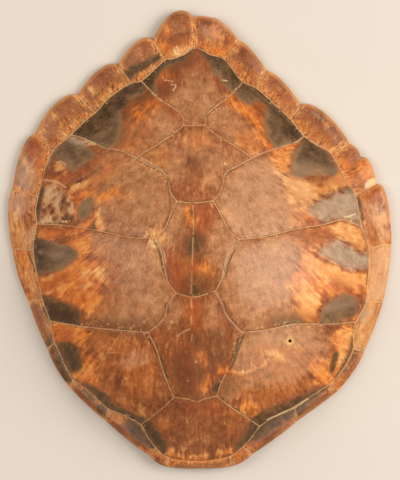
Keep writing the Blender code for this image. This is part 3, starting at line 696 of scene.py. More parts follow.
def along_scute(points):
    """The share along the rim scute, going anticlockwise from one cross seam to the next."""
    radius, angle = polar(points)
    out = np.clip((radius - girdle.at(angle)) / (rim.at(angle) - girdle.at(angle)), 0, 1)
    inner, outer = SEAM_ANGLES
    place = inner[None] + out[:, None] * (outer - inner)[None]
    passed = (angle[:, None] >= place).sum(axis=1)
    turn = 2 * math.pi
    wrapped = np.concatenate((place[:, -1:] - turn, place, place[:, :1] + turn), axis=1)
    rows = np.arange(len(points))
    before, after = wrapped[rows, passed], wrapped[rows, passed + 1]
    return (angle - before) / (after - before)


# Heights of a rim scute's forms at the tail, and the lengths over which two of them fade
LAP_RISE, LAP_FADE, TUCK_DEPTH, TUCK_FADE = 0.0010, 0.008, 0.0003, 0.004
SCUTE_CROWN, GUTTER_DEPTH, LIP_RISE = 0.0007, 0.0010, 0.0006
GUTTER_AT, LIP_FROM, SOFTNESS = 0.62, 0.78, 0.2  # shares of the way across the rim
MIDDLE_X = 195  # of the shell, in pixels: left of it the rim scutes lap the other way round


def shingle(points, across):
    """The step where one rim scute laps over the next, and the hollow behind its lip."""
    share = along_scute(points)
    on_left = points[:, 0] < plan((MIDDLE_X, 0))[0]
    from_tail = np.where(on_left, share, 1 - share)  # 0 at the scute's tail end
    gap = to_cross_seam(points)
    tailward = np.clip(np.sin(polar(points)[1]) * 0.6 + 0.6, 0.25, 1)
    lap, tuck = LAP_RISE * np.exp(-gap / LAP_FADE), -TUCK_DEPTH * np.exp(-gap / TUCK_FADE)
    step = np.where(from_tail < 0.5, lap, tuck)
    crown = SCUTE_CROWN * np.sin(math.pi * np.clip(share, 0, 1)) ** 0.7
    hollow = -GUTTER_DEPTH * np.exp(-(((across - GUTTER_AT) / SOFTNESS) ** 2))
    lip = LIP_RISE * smooth_step((across - LIP_FROM) / SOFTNESS)
    fade = smooth_step(across / 0.25)
    return tailward * (fade * (step + crown) + hollow + lip)


# %% The outer face
SEAM_DEPTH, SEAM_HALF_WIDTH = 0.0008, 0.0010
KEEL_HALF_WIDTH, KEEL_RISE = 0.013, 0.0007
PIT_RADIUS, PIT_DEPTH = 0.0021, 0.0040  # deeper than on the plain shell, so that it stays dark
PILLOW_RISE, PILLOW_REACH = 0.0007, 0.009  # how full each scute is beside its seams
SWELLS = (0.00035, 0.045), (0.00012, 0.014)  # heights and lengths of faint waves all over


def outer(points):
    """The height of the outer face."""
    radius, angle = polar(points)
    waist, gap = girdle.at(angle), to_seam(points)
    across = share_of_way(radius - waist, to_edge(points) - LIP_RADIUS)
    top, lip = dome(waist, angle), LIP_HEIGHT + foot_height(angle)
    bulge = by_direction(RIM_BULGE, np.sin(angle)) * np.sin(math.pi * across)
    rim_part = top + (lip - top) * across + bulge
    height = np.where(radius < waist, dome(radius, angle), rim_part)
    outside = np.flatnonzero(radius >= waist)
    height[outside] += shingle(points[outside], across[outside])
    height -= SEAM_DEPTH * np.exp(-((gap / SEAM_HALF_WIDTH) ** 2))
    height += PILLOW_RISE * (1 - np.exp(-gap / PILLOW_REACH)) - PILLOW_RISE / 2
    height += KEEL_RISE * smooth_step(1 - to_keel(points) / KEEL_HALF_WIDTH)
    from_pit = np.linalg.norm(points - plan(PIT), axis=1)
    height -= PIT_DEPTH * np.clip(2 - 2 * from_pit / PIT_RADIUS, 0, 1)
    height += sum(rise * waves(points, length) for rise, length in SWELLS)
    return height + small_relief(points)


print("the horn over the crown is at", outer(plan(DOME_CENTRE)[None]).round(4))

# %% [markdown]
# ## The hollow side
#
# Nobody sees much of the inside while the shell lies on its rim, but it is there when the shell
# is turned over: the backbone runs down the middle as a row of rounded vertebrae, and eight
# pairs of flat ribs fan out from it, grown into the bone. They are low ridges on the dome's
# inner face, again as functions of the distance to a line.

# %% The inner face
SPINE_HALF_WIDTH, SPINE_DEPTH = 0.012, 0.006
RIB_HALF_WIDTH, RIB_DEPTH, RIB_ROOT, RIB_REACH = 0.009, 0.0016, 0.010, 0.90
VERTEBRA = 0.046  # length of one vertebra
THICKER = 0.45  # share by which the wall has grown where the inner face turns down to the foot
TURN_ROOM, FOOT_FADE = 0.015, 0.030  # from the foot to that turn, and over which the ridges fade
UNEVEN = 0.0002, 0.012  # height and length of the faint waves of the bone


def rib(pixel_y, sweep, side):
    """The middle line of a rib: out from the backbone, bending towards its own end."""
    start = plan((SPINE[1][0], pixel_y)) + np.array((side * RIB_ROOT, 0))
    away = start - plan(DOME_CENTRE) + np.array((side * 0.2, sweep * METRES_PER_PIXEL))
    angle = math.atan2(away[1], away[0])
    reach = RIB_REACH * girdle.at(angle)
    end = plan(DOME_CENTRE) + reach * np.array((math.cos(angle), math.sin(angle)))
    elbow = (start + end) / 2 - np.array((0, sweep * METRES_PER_PIXEL / 4))
    return curve_through((start, elbow, end))


SPINE_LINE = curve_through([plan(p) for p in SPINE])
RIB_LINES = [rib(y, sweep, side) for y, sweep in RIBS for side in (-1, 1)]
to_spine, to_rib = measure([SPINE_LINE]), measure(RIB_LINES)


def inner(points):
    """The height of the inner face."""
    radius, angle = polar(points)
    turn = np.minimum(girdle.at(angle), foot_loop.at(angle) - TURN_ROOM)
    from_foot = to_foot(points)
    wall = WALL * (1 + THICKER * (radius / turn) ** 2)
    top = dome(turn, angle) - WALL * (1 + THICKER)
    fall = share_of_way(radius - turn, from_foot)
    side = top + (foot_height(angle) - top) * fall
    height = np.where(radius < turn, dome(radius, angle) - wall, side)
    waist = 0.82 + 0.18 * np.cos(2 * math.pi * points[:, 1] / VERTEBRA)
    spine = smooth_step(1 - to_spine(points) / (SPINE_HALF_WIDTH * waist)) * waist
    ribs = smooth_step(1 - to_rib(points) / RIB_HALF_WIDTH)
    ridge = np.maximum(SPINE_DEPTH * spine, RIB_DEPTH * ribs)
    ridge += UNEVEN[0] * waves(points, UNEVEN[1])
    return height - smooth_step(from_foot / FOOT_FADE) * ridge


print("the bone under the crown is at", inner(plan(DOME_CENTRE)[None]).round(4))

# %% [markdown]
# ## Points, then triangles
#
# A grid of equal squares would saw across the seams. Instead the points are laid down in order
# of importance: first the border, then the seams, with close rows beside them, then the strokes,
# and last an even fill wherever there is still room. Blender's Delaunay routine joins them into
# good triangles and keeps every seam as a row of edges.

# %% A scatter of points that keep their distance
FILL, SEAM_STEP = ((0.0026, 0.0025))
INNER_FILL = 0.0046
CELL, LEAST_GAP, SAME = 0.003, 0.0005, 0.0002  # nearer than the last, two points are the same
CROWDED = 0.62  # share of the fill's spacing at which there is no more room


class Scatter:
    """Points of the plane, none too near to another, sorted into small cells."""

    def __init__(self, border):
        self.points, self.cells, self.edges = [], {}, []
        self.border = border
        for dot in border.tolist():
            self.put(dot)

    def put(self, dot):
        self.cells.setdefault((int(dot[0] // CELL), int(dot[1] // CELL)), []).append(len(self.points))
        self.points.append(dot)
        return len(self.points) - 1

    def around(self, dot):
        column, row = int(dot[0] // CELL), int(dot[1] // CELL)
        for x in (column - 1, column, column + 1):
            for y in (row - 1, row, row + 1):
                yield from self.cells.get((x, y), ())

    def nearest(self, dot, gap):
        """The point within gap of dot, or None."""
        for i in self.around(dot):
            if math.dist(self.points[i], dot) < gap:
                return i
        return None

    def add_dots(self, dots, gap):
        dots = np.asarray(dots)
        for dot in dots[inside(dots, self.border)].tolist():
            if self.nearest(dot, gap) is None:
                self.put(dot)

    def add_wall(self, line):
        """A line that the triangles follow. Its ends may be points that are there already."""
        last = None
        for dot in line.tolist():
            here = self.nearest(dot, SAME)
            here = self.put(dot) if here is None else here
            if last is not None:
                self.edges.append((last, here))
            last = here

    def fill(self, spacing):
        low, high = self.border.min(axis=0), self.border.max(axis=0)
        rows = np.arange(low[1], high[1], spacing * math.sqrt(3) / 2)
        columns = np.arange(low[0], high[0], spacing)
        grid = [(x + spacing / 2 * (i % 2), y) for i, y in enumerate(rows) for x in columns]
        self.add_dots(grid, spacing * CROWDED)

    def triangles(self):
        """Points, triangles and, for each wall edge, its two points, as arrays."""
        flat = [Vector(p) for p in self.points]
        border = list(range(len(self.border)))
        found = geometry.delaunay_2d_cdt(flat, self.edges, [border], 1, 1e-8)
        points = np.array([tuple(p) for p in found[0]])
        walls = [edge for edge, source in zip(found[1], found[4]) if source]
        return points, np.array(found[2]), found[3], walls


def beside(line, offset, step):
    """A row of points beside a line."""
    middle = evenly(line, step)
    ahead = np.gradient(middle, axis=0)
    ahead /= np.linalg.norm(ahead, axis=1)[:, None]
    return middle + np.stack((-ahead[:, 1], ahead[:, 0]), axis=1) * offset


# %% Points of the outer face
SEAM_ROWS = 0.0006, 0.0012, 0.0021
PIT_RINGS = (1, 0), (4, 0.0005), (8, 0.0010), (12, 0.0015), (17, 0.0021)  # points and radius
STROKE_STEP, GRAIN_RING, PIT_GAP = 0.0016, 0.0012, 0.0003
DRY_CORNERS, DRY_STEP, DRY_GAP = ((38, 226), (80, 182)), 0.0014, 0.0009


def ring_of(count, size):
    """Points on a circle."""
    turns = np.linspace(0, 2 * math.pi, count, endpoint=False)
    return np.stack((np.cos(turns), np.sin(turns)), axis=1) * size


def outer_scatter():
    """Seams, rows beside them, strokes, the pit, grains, the dry patch, then the fill."""
    scatter = Scatter(BORDER)
    cross = [line for line, _ in CROSS_SEAMS]
    seams = [*girdle_pieces(), *DOME_SEAMS, *cross]
    for line in seams:
        scatter.add_wall(evenly(line, SEAM_STEP))
    for offset in SEAM_ROWS:
        for line in seams:
            for side in (-offset, offset):
                row = beside(line, side, SEAM_STEP)
                scatter.add_dots(row[to_seam(row) > offset * 0.92], LEAST_GAP)
    for _, _, half_width, _, *places in STROKES:
        line = np.array([plan(p) for p in stroke_line(places)])
        wide = half_width * METRES_PER_PIXEL
        for offset in (0, wide, -wide, 2 * wide, -2 * wide):
            scatter.add_dots(beside(line, offset, STROKE_STEP), LEAST_GAP)
    for count, size in PIT_RINGS:
        scatter.add_dots(plan(PIT) + ring_of(count, size), PIT_GAP)
    bump = np.concatenate((ring_of(1, 0), ring_of(6, GRAIN_RING)))
    for _, _, *places in GRAINS:
        for place in places:
            scatter.add_dots(plan(place) + bump, LEAST_GAP)
    low, high = map(plan, DRY_CORNERS)
    columns, rows = (np.arange(low[k], high[k], DRY_STEP) for k in range(2))
    scatter.add_dots([(x, y) for x in columns for y in rows], DRY_GAP)
    scatter.fill(FILL)
    return scatter


OUTER_POINTS, OUTER_FACES, OUTER_SOURCE, OUTER_WALLS = outer_scatter().triangles()
print(len(OUTER_POINTS), "points and", len(OUTER_FACES), "triangles outside")


# %% Points of the inner face
BONE_INSET = 0.015  # where the horn under the rim ends and the bone begins
BONE_EDGE = EDGE + inward(EDGE, spread=6) * BONE_INSET


def inner_scatter():
    """Rows along the backbone and the ribs, then the fill."""
    scatter = Scatter(BONE_EDGE)
    lines = [(SPINE_LINE, SPINE_HALF_WIDTH)] + [(line, RIB_HALF_WIDTH) for line in RIB_LINES]
    for line, half_width in lines:
        for share in (0, -0.5, 0.5, -1, 1):
            scatter.add_dots(beside(line, half_width * share, INNER_FILL * 0.8), INNER_FILL * 0.5)
    scatter.fill(INNER_FILL)
    return scatter


INNER_POINTS, INNER_FACES, INNER_SOURCE, _ = inner_scatter().triangles()
print(len(INNER_POINTS), "points and", len(INNER_FACES), "triangles inside")

# %% [markdown]
# ## The lip of the rim
#
# Between the two faces the rim is a rounded lip. It is built of rings, each a copy of the edge
# moved inward and up or down, like the hoops of a barrel. Where a cross seam reaches the edge
# the rings dip, so that every seam runs on over the lip.

# %% Rings from the border over the lip to the bone
NOTCH_DIP = 0.0008
LIP_TURNS = 18, 36, 54, 72, 90  # degrees round the lip
# Below them: how far in from the edge, how far above the foot, and the share of the dip
FOOT_RINGS = (0.0003, 0.0026, 0.6), (0.0012, 0.0011, 0.3), (FOOT_INSET[0], 0, 0), (FOOT_INSET[1], 0, 0)


def ring_levels():
    """Each ring: how far in from the edge, and a function for its height."""
    angle = polar(EDGE)[1]
    low, border = foot_height(angle), outer(BORDER)
    dips = np.zeros(len(EDGE))
    dips[[at for _, at in CROSS_SEAMS]] = NOTCH_DIP
    levels = [(LIP_RADIUS, border, 0.0)]
    for turn in np.radians(LIP_TURNS):
        inset = LIP_RADIUS * (1 - math.sin(turn))
        drop = LIP_RADIUS * (1 - math.cos(turn))
        share = (LIP_HEIGHT - drop) / LIP_HEIGHT
        levels.append((inset, low + (border - low) * share, math.sin(turn)))
    levels += [(inset, low + rise, dip) for inset, rise, dip in FOOT_RINGS]
    return [(inset, height, dips * dip) for inset, height, dip in levels]


def ring_points():
    """The rings' places in the plane, and their heights."""
    flat = [EDGE + INWARD * (inset + dip)[:, None] for inset, _, dip in ring_levels()]
    high = [height for _, height, _ in ring_levels()]
    middle = (FOOT + BONE_EDGE) / 2
    for loop in (middle, BONE_EDGE):
        flat.append(loop)
        high.append(inner(loop))
    return flat, high


RING_PLANS, RING_HEIGHTS = ring_points()
print(len(RING_PLANS), "rings of", len(EDGE), "points")

# %% [markdown]
# ## Which scute is a triangle on?
#
# The grain of the horn starts afresh on every scute, so each triangle has to know its scute.
# The seams are walls of edges. Triangles that touch across an edge that is no wall belong
# together, and a union-find, which is a forest of pointers, gathers them. A seed place for each
# scute gives the gathered triangles their names.

# %% Names and seeds of the scutes
SEEDS = {
    "V1": (200, 430), "V2": (195, 345), "V3": (195, 250), "V4": (195, 165), "V5": (192, 85),
    "C1L": (110, 370), "C2L": (100, 280), "C3L": (100, 190), "C4L": (110, 125),
    "C1R": (290, 380), "C2R": (300, 280), "C3R": (290, 190), "C4R": (275, 125),
}


def rim_seeds(rows, side):
    """A place in the middle of each rim scute, from the tail (12) to the head (1)."""
    rows = [row for row in rows if row[1]]
    pairs = list(zip(rows, rows[1:]))
    middles = [np.mean((a[0], a[1], b[0], b[1]), axis=0) for a, b in pairs]
    return {f"M{12 - i}{side}": tuple(middle) for i, middle in enumerate(middles)}


SEEDS |= rim_seeds(RIM_LEFT, "L") | rim_seeds(RIM_RIGHT, "R") | {"N": (200, 464)}
SCUTES = list(SEEDS)


def gather(faces, walls):
    """For each triangle the number of its group: the triangles not parted by walls."""
    barrier = {tuple(sorted(edge)) for edge in walls}
    parent = list(range(len(faces)))

    def root(i):
        while parent[i] != i:
            parent[i] = parent[parent[i]]
            i = parent[i]
        return i

    owner = {}
    for i, (a, b, c) in enumerate(faces.tolist()):
        for edge in ((a, b), (b, c), (c, a)):
            key = edge if edge[0] < edge[1] else (edge[1], edge[0])
            if key in barrier:
                continue
            if key in owner:
                parent[root(i)] = root(owner[key])
            else:
                owner[key] = i
    return np.array([root(i) for i in range(len(faces))])


def name_faces(points, faces, walls):
    """For each triangle the place of its scute in SCUTES."""
    group = gather(faces, walls)
    middles = points[faces].mean(axis=1)
    label = np.full(len(faces), -1)
    for number, seed in enumerate(SEEDS.values()):
        nearest = np.linalg.norm(middles - plan(seed), axis=1).argmin()
        label[group == group[nearest]] = number
    print(len(set(group.tolist())), "groups,", int((label < 0).sum()), "triangles without a scute")
    return label


OUTER_LABEL = name_faces(OUTER_POINTS, OUTER_FACES, OUTER_WALLS)


def edge_labels():
    """The scute of each piece of the edge, from the triangle at the border there."""
    middles = OUTER_POINTS[OUTER_FACES].mean(axis=1)
    tree = kdtree.KDTree(len(middles))
    for i, middle in enumerate(middles):
        tree.insert((*middle, 0), i)
    tree.balance()
    halfway = (BORDER + np.roll(BORDER, -1, axis=0)) / 2
    return np.array([OUTER_LABEL[tree.find((*p, 0))[1]] for p in halfway])


EDGE_LABEL = edge_labels()

# %% [markdown]
# ## One closed mesh
#
# The two faces and the rings share their border points, so the shell is one watertight skin. A
# thing that stands high was seen nearer to the lens and drawn too far out on the map, so every
# point is drawn in by its height.

# %% Put the mesh together
def placed(points, heights):
    """Places in space, each drawn in by its height."""
    scale = 1 - heights / LENS_HEIGHT
    return np.column_stack((points * scale[:, None], heights))


class Skin:
    """The growing mesh: places, the map places they came from, triangles and their scutes."""

    def __init__(self):
        self.places, self.plans, self.faces, self.labels = [], [], [], []
        self.count = 0

    def add_points(self, plans, heights):
        self.places.append(placed(plans, heights))
        self.plans.append(plans)
        self.count += len(plans)
        return np.arange(self.count - len(plans), self.count)

    def add_faces(self, faces, labels):
        self.faces.append(faces)
        self.labels.append(labels)

    def add_face_side(self, points, heights_of, faces, source, ring, labels, upward):
        """One of the two faces. Its border points are the ring's."""
        ids = np.empty(len(points), int)
        border = [i for i, s in enumerate(source) if s and s[0] < len(ring)]
        ids[border] = ring[[source[i][0] for i in border]]
        rest = np.setdiff1d(np.arange(len(points)), border)
        ids[rest] = self.add_points(points[rest], heights_of(points[rest]))
        a, b, c = (points[faces[:, k]] for k in range(3))
        turn = (b - a)[:, 0] * (c - a)[:, 1] - (b - a)[:, 1] * (c - a)[:, 0]
        flip = (turn < 0) == upward
        faces = np.where(flip[:, None], faces[:, ::-1], faces)
        self.add_faces(ids[faces], labels)


skin = Skin()
rings = [skin.add_points(flat, high) for flat, high in zip(RING_PLANS, RING_HEIGHTS)]
for upper, lower in zip(rings, rings[1:]):
    a, b = upper, np.roll(upper, -1)
    d, c = lower, np.roll(lower, -1)
    skin.add_faces(np.column_stack((a, d, c)), EDGE_LABEL)
    skin.add_faces(np.column_stack((a, c, b)), EDGE_LABEL)
skin.add_face_side(OUTER_POINTS, outer, OUTER_FACES, OUTER_SOURCE, rings[0], OUTER_LABEL, True)
no_scute = np.full(len(INNER_FACES), -1)
skin.add_face_side(INNER_POINTS, inner, INNER_FACES, INNER_SOURCE, rings[-1], no_scute, False)
PLACES, PLANS = np.concatenate(skin.places), np.concatenate(skin.plans)
FACES, LABELS = np.concatenate(skin.faces), np.concatenate(skin.labels)
print(len(PLACES), "points,", len(FACES), "triangles in the shell")

# %% Centre it over the origin, with its lowest point at zero, and make the object
low, high = PLACES.min(axis=0), PLACES.max(axis=0)
CENTRE = np.array(((low[0] + high[0]) / 2, (low[1] + high[1]) / 2, low[2]))
mesh = bpy.data.meshes.new("turtle_shell")
mesh.from_pydata((PLACES - CENTRE).tolist(), [], FACES.tolist())
mesh.shade_smooth()


def stand(name, data):
    """A new object of the scene."""
    thing = bpy.data.objects.new(name, data)
    bpy.context.scene.collection.objects.link(thing)
    return thing


shell = stand("turtle_shell", mesh)
print("the mesh is", "sound" if not mesh.validate() else "mended")

# %% [markdown]
# ## The markings
#
# The horn's pattern is the beauty of the shell. It could be left to random noise, but a turtle
# is known by its markings, so each large cloud is listed: a few points round it, on the
# scute that it belongs to. The mesh stores how deep each point lies inside the nearest cloud of
# each paint. The material then sets the exact edge, frayed along the grain by noise, and the
# depth may reach over a seam without harm because it is stored for each scute by itself.

# %% Clouds on the vertebral scutes: scute, then paint and the points round it
CLOUDS = {}
CLOUDS["V1"] = (
    ("dark", (136, 418), (146, 415), (156, 428), (167, 442), (165, 452), (158, 452), (146, 437)),
    ("dark", (264, 412), (254, 417), (246, 429), (241, 437), (235, 447), (244, 456), (266, 440)),
    ("honey", (228, 412), (236, 411), (247, 417), (241, 421), (231, 420)),
    ("honey", (227, 426), (233, 422), (237, 430), (231, 436)),
    ("honey", (160, 423), (167, 419), (171, 428), (165, 434)),
    ("amber", (170, 451), (186, 455), (199, 456), (214, 454), (228, 449), (232, 452), (200, 464),
     (170, 457)),
    ("red", (178, 402), (197, 405), (214, 402), (226, 409), (210, 413), (192, 412), (176, 409)),
)
CLOUDS["V2"] = (
    ("red", (184, 296), (200, 297), (203, 312), (199, 328), (189, 328), (185, 312)),
    ("faint", (188, 331), (194, 328), (199, 334), (201, 346), (196, 350), (189, 342)),
    ("red", (187, 333), (194, 327), (201, 331), (203, 345), (197, 350), (190, 345)),
    ("amber", (202, 355), (206, 358), (207, 366), (203, 367)),
    ("amber", (201, 389), (203, 378), (211, 370), (223, 368), (231, 370), (226, 375), (216, 378),
     (208, 388)),
    ("dark", (211, 391), (214, 384), (221, 378), (229, 375), (227, 385), (219, 394)),
    ("faint", (199, 366), (207, 366), (208, 377), (202, 386), (197, 377)),
    ("faint", (176, 352), (190, 350), (196, 372), (194, 394), (180, 394), (172, 370)),
    ("faint", (206, 332), (220, 330), (230, 342), (226, 360), (212, 366), (204, 350)),
    ("red", (178, 350), (192, 344), (196, 372), (194, 390), (182, 392), (176, 372)),
    ("red", (154, 333), (160, 333), (164, 338), (158, 339)),
    ("haze", (206, 303), (216, 300), (222, 312), (216, 330), (208, 326)),
    ("haze", (170, 306), (180, 302), (184, 314), (178, 326), (168, 324)),
    ("rubbed", (238, 336), (246, 338), (240, 352), (234, 368), (226, 372), (230, 352)),
)
CLOUDS["V3"] = (
    ("faint", (184, 240), (194, 231), (205, 238), (207, 252), (197, 262), (185, 256)),
    ("dark", (191, 238), (193, 242), (196, 233), (198, 240), (201, 235), (202, 246), (199, 244), (198, 252),
     (195, 247), (192, 255), (190, 249), (187, 253), (187, 246), (190, 246)),
    ("faint", (184, 276), (206, 275), (212, 290), (204, 302), (182, 300)),
    ("dark", (192, 287), (198, 285), (201, 291), (197, 296), (192, 295)),
    ("honey", (186, 262), (196, 261), (200, 268), (196, 275), (188, 274), (185, 268)),
    ("haze", (172, 206), (182, 206), (184, 222), (178, 240), (164, 244), (162, 228)),
    ("amber", (186, 209), (189, 208), (189, 220), (186, 222)),
    ("red", (195, 205), (208, 205), (213, 218), (208, 231), (198, 232)),
    ("haze", (214, 222), (224, 224), (236, 238), (226, 254), (212, 262), (206, 250), (210, 236)),
    ("red", (188, 262), (198, 262), (200, 270), (194, 276), (188, 270)),
    ("peach", (155, 236), (160, 230), (164, 236), (165, 243), (161, 246)),
    ("honey", (194, 262), (208, 262), (212, 271), (206, 279), (194, 278)),
    ("red", (166, 256), (182, 262), (186, 288), (176, 292), (168, 276)),
)
CLOUDS["V4"] = (
    ("honey", (188, 134), (200, 130), (210, 138), (208, 148), (198, 150), (188, 144)),
    ("honey", (150, 156), (166, 150), (170, 160), (160, 167)),
    ("faint", (189, 160), (196, 156), (200, 163), (196, 171), (190, 169)),
    ("haze", (144, 158), (166, 144), (182, 152), (182, 184), (170, 184), (164, 172)),
    ("haze", (206, 148), (236, 150), (246, 158), (224, 172), (218, 188), (206, 184)),
    ("haze", (186, 130), (206, 128), (216, 142), (214, 156), (200, 162), (186, 152)),
)
CLOUDS["V5"] = (
    ("red", (188, 44), (201, 44), (204, 58), (200, 70), (184, 72), (178, 64), (184, 55)),
    ("olive", (128, 82), (150, 62), (172, 48), (192, 42), (190, 54), (184, 61), (173, 65), (164, 70),
     (159, 76), (155, 84), (156, 94), (146, 94)),
    ("red", (156, 84), (162, 72), (176, 68), (182, 78), (174, 90), (166, 97), (156, 96)),
    ("amber", (160, 74), (166, 71), (172, 76), (166, 80), (160, 80)),
    ("dark", (226, 66), (234, 66), (244, 79), (237, 85), (228, 77)),
    ("dark", (134, 82), (146, 70), (154, 68), (152, 80), (150, 90), (140, 88)),
    ("faint", (168, 70), (176, 59), (188, 53), (197, 48), (201, 58), (194, 67), (182, 73), (172, 74)),
    ("faint", (154, 90), (162, 84), (174, 84), (174, 92), (162, 99)),
    ("olive", (200, 42), (214, 42), (232, 50), (248, 64), (256, 82), (242, 94), (231, 93), (222, 84),
     (214, 74), (207, 62), (202, 54)),
    ("haze", (190, 60), (200, 60), (206, 76), (222, 96), (212, 112), (204, 122), (186, 122), (168, 100),
     (180, 84)),
)

# %% Clouds on the left costal scutes
CLOUDS["C4L"] = (
    ("olive", (56, 130), (78, 102), (96, 84), (114, 70), (136, 64), (148, 76), (146, 91), (136, 97),
     (125, 104), (121, 114), (121, 128), (117, 142), (110, 149), (96, 148), (82, 144), (70, 142)),
    ("dark", (84, 126), (92, 123), (99, 129), (95, 137), (86, 136)),
    ("dark", (93, 118), (99, 109), (107, 105), (111, 113), (105, 124), (97, 128)),
    ("dark", (115, 99), (124, 95), (130, 101), (126, 109), (117, 108)),
    ("dark", (104, 96), (114, 84), (124, 82), (120, 92), (108, 102)),
    ("faint", (130, 100), (146, 88), (158, 90), (156, 97), (142, 103)),
    ("faint", (118, 106), (128, 108), (128, 126), (124, 144), (112, 152), (112, 128)),
    ("amber", (133, 112), (146, 103), (156, 98), (160, 104), (149, 111), (146, 119), (139, 124),
     (134, 120)),
    ("honey", (120, 127), (130, 120), (150, 126), (150, 140), (132, 152), (121, 148)),
    ("red", (146, 97), (160, 96), (174, 110), (176, 120), (160, 108), (150, 105)),
    ("amber", (106, 148), (118, 146), (120, 152), (108, 152)),
    ("haze", (112, 124), (135, 118), (160, 104), (178, 116), (184, 128), (150, 150), (132, 158),
     (108, 152)),
)
CLOUDS["C3L"] = (
    ("olive", (58, 147), (62, 142), (68, 140), (79, 143), (88, 147), (94, 152), (92, 159), (85, 165),
     (77, 170), (69, 171), (65, 165), (59, 162), (54, 160), (54, 153)),
    ("grey", (68, 135), (76, 138), (84, 142), (83, 146), (74, 143), (68, 140)),
    ("peach", (84, 137), (91, 137), (96, 141), (94, 143), (86, 142)),
    ("olive", (79, 219), (78, 210), (83, 202), (91, 198), (93, 206), (90, 214), (84, 221)),
    ("dark", (90, 230), (93, 222), (96, 230)),
    ("grey", (47, 191), (53, 189), (60, 194), (58, 201), (49, 200)),
    ("grey", (42, 215), (52, 216), (57, 219), (54, 224), (40, 224)),
    ("faint", (61, 205), (66, 203), (72, 208), (72, 218), (63, 221)),
    ("red", (90, 160), (101, 157), (96, 167), (82, 176), (66, 180), (45, 178), (46, 173), (62, 174),
     (76, 172), (86, 166)),
    ("peach", (56, 162), (62, 162), (66, 169), (62, 173), (56, 170)),
    ("honey", (72, 184), (90, 177), (108, 170), (108, 184), (96, 194), (84, 200), (74, 205), (65, 198)),
    ("peach", (70, 187), (80, 185), (88, 183), (84, 188), (74, 191)),
    ("amber", (72, 198), (84, 192), (92, 192), (84, 199), (74, 204)),
    ("amber", (98, 196), (108, 191), (119, 189), (118, 194), (106, 198), (99, 201)),
    ("red", (48, 187), (58, 186), (66, 190), (68, 200), (62, 196), (54, 190)),
    ("amber", (72, 202), (78, 200), (77, 214), (74, 219), (71, 212)),
    ("amber", (94, 214), (98, 212), (101, 231), (96, 232)),
    ("peach", (97, 213), (100, 212), (103, 230), (98, 231)),
    ("amber", (80, 223), (88, 218), (94, 220), (90, 228), (82, 229)),
    ("honey", (100, 194), (112, 190), (126, 191), (122, 200), (106, 203)),
    ("honey", (100, 162), (118, 156), (122, 166), (112, 176), (100, 176)),
    ("peach", (148, 227), (156, 225), (161, 231), (158, 239), (148, 238)),
    ("haze", (92, 166), (104, 152), (124, 150), (142, 158), (162, 170), (174, 195), (176, 206), (158, 236),
     (126, 234), (104, 226), (92, 200)),
)
CLOUDS["C2L"] = (
    ("olive", (31, 241), (38, 239), (48, 241), (59, 243), (69, 246), (77, 253), (76, 259), (68, 265),
     (58, 271), (48, 275), (38, 276), (32, 270)),
    ("dark", (30, 292), (40, 294), (48, 296), (56, 299), (67, 304), (76, 307), (80, 314), (80, 327),
     (66, 328), (50, 327), (34, 318)),
    ("mist", (47, 254), (59, 252), (65, 255), (57, 258)),
    ("amber", (36, 231), (50, 228), (78, 226), (88, 232), (76, 234), (60, 237), (40, 239)),
    ("red", (38, 229), (52, 229), (66, 230), (60, 233), (44, 234)),
    ("amber", (66, 241), (80, 236), (90, 240), (86, 250), (80, 256), (72, 248)),
    ("amber", (36, 277), (48, 275), (60, 270), (72, 263), (82, 255), (96, 262), (104, 272), (104, 284),
     (98, 300), (90, 312), (80, 308), (66, 302), (52, 297), (38, 293)),
    ("honey", (88, 250), (104, 254), (120, 268), (122, 290), (114, 308), (98, 318), (88, 310), (98, 286)),
    ("red", (40, 289), (52, 280), (66, 273), (69, 277), (57, 286), (48, 292)),
    ("peach", (96, 268), (108, 270), (108, 280), (98, 280)),
    ("peach", (149, 237), (157, 239), (161, 248), (156, 249), (150, 243)),
    ("faint", (96, 318), (120, 322), (140, 318), (150, 322), (146, 331), (100, 327)),
    ("haze", (90, 236), (150, 242), (162, 262), (172, 292), (160, 320), (146, 330), (104, 324), (88, 312),
     (110, 292), (104, 266)),
)
CLOUDS["C1L"] = (
    ("amber", (49, 324), (64, 322), (84, 327), (88, 334), (80, 344), (74, 344), (64, 346), (54, 342)),
    ("red", (60, 330), (70, 329), (72, 337), (66, 343), (59, 338)),
    ("dark", (57, 344), (68, 341), (76, 346), (80, 355), (82, 364), (79, 370), (71, 372), (63, 362)),
    ("amber", (84, 350), (92, 354), (96, 384), (84, 386), (73, 377), (82, 369)),
    ("honey", (84, 332), (108, 334), (118, 352), (116, 380), (120, 402), (104, 396), (92, 384), (90, 356)),
    ("dark", (82, 382), (90, 384), (97, 388), (110, 398), (121, 407), (138, 416), (147, 420), (141, 427),
     (124, 419), (108, 411), (95, 400)),
    ("peach", (135, 404), (142, 402), (143, 408), (137, 410)),
    ("mist", (120, 362), (132, 354), (147, 353), (147, 360), (134, 364)),
    ("honey", (112, 396), (130, 398), (146, 412), (130, 410)),
    ("honey", (114, 346), (144, 344), (156, 372), (152, 394), (124, 390)),
)

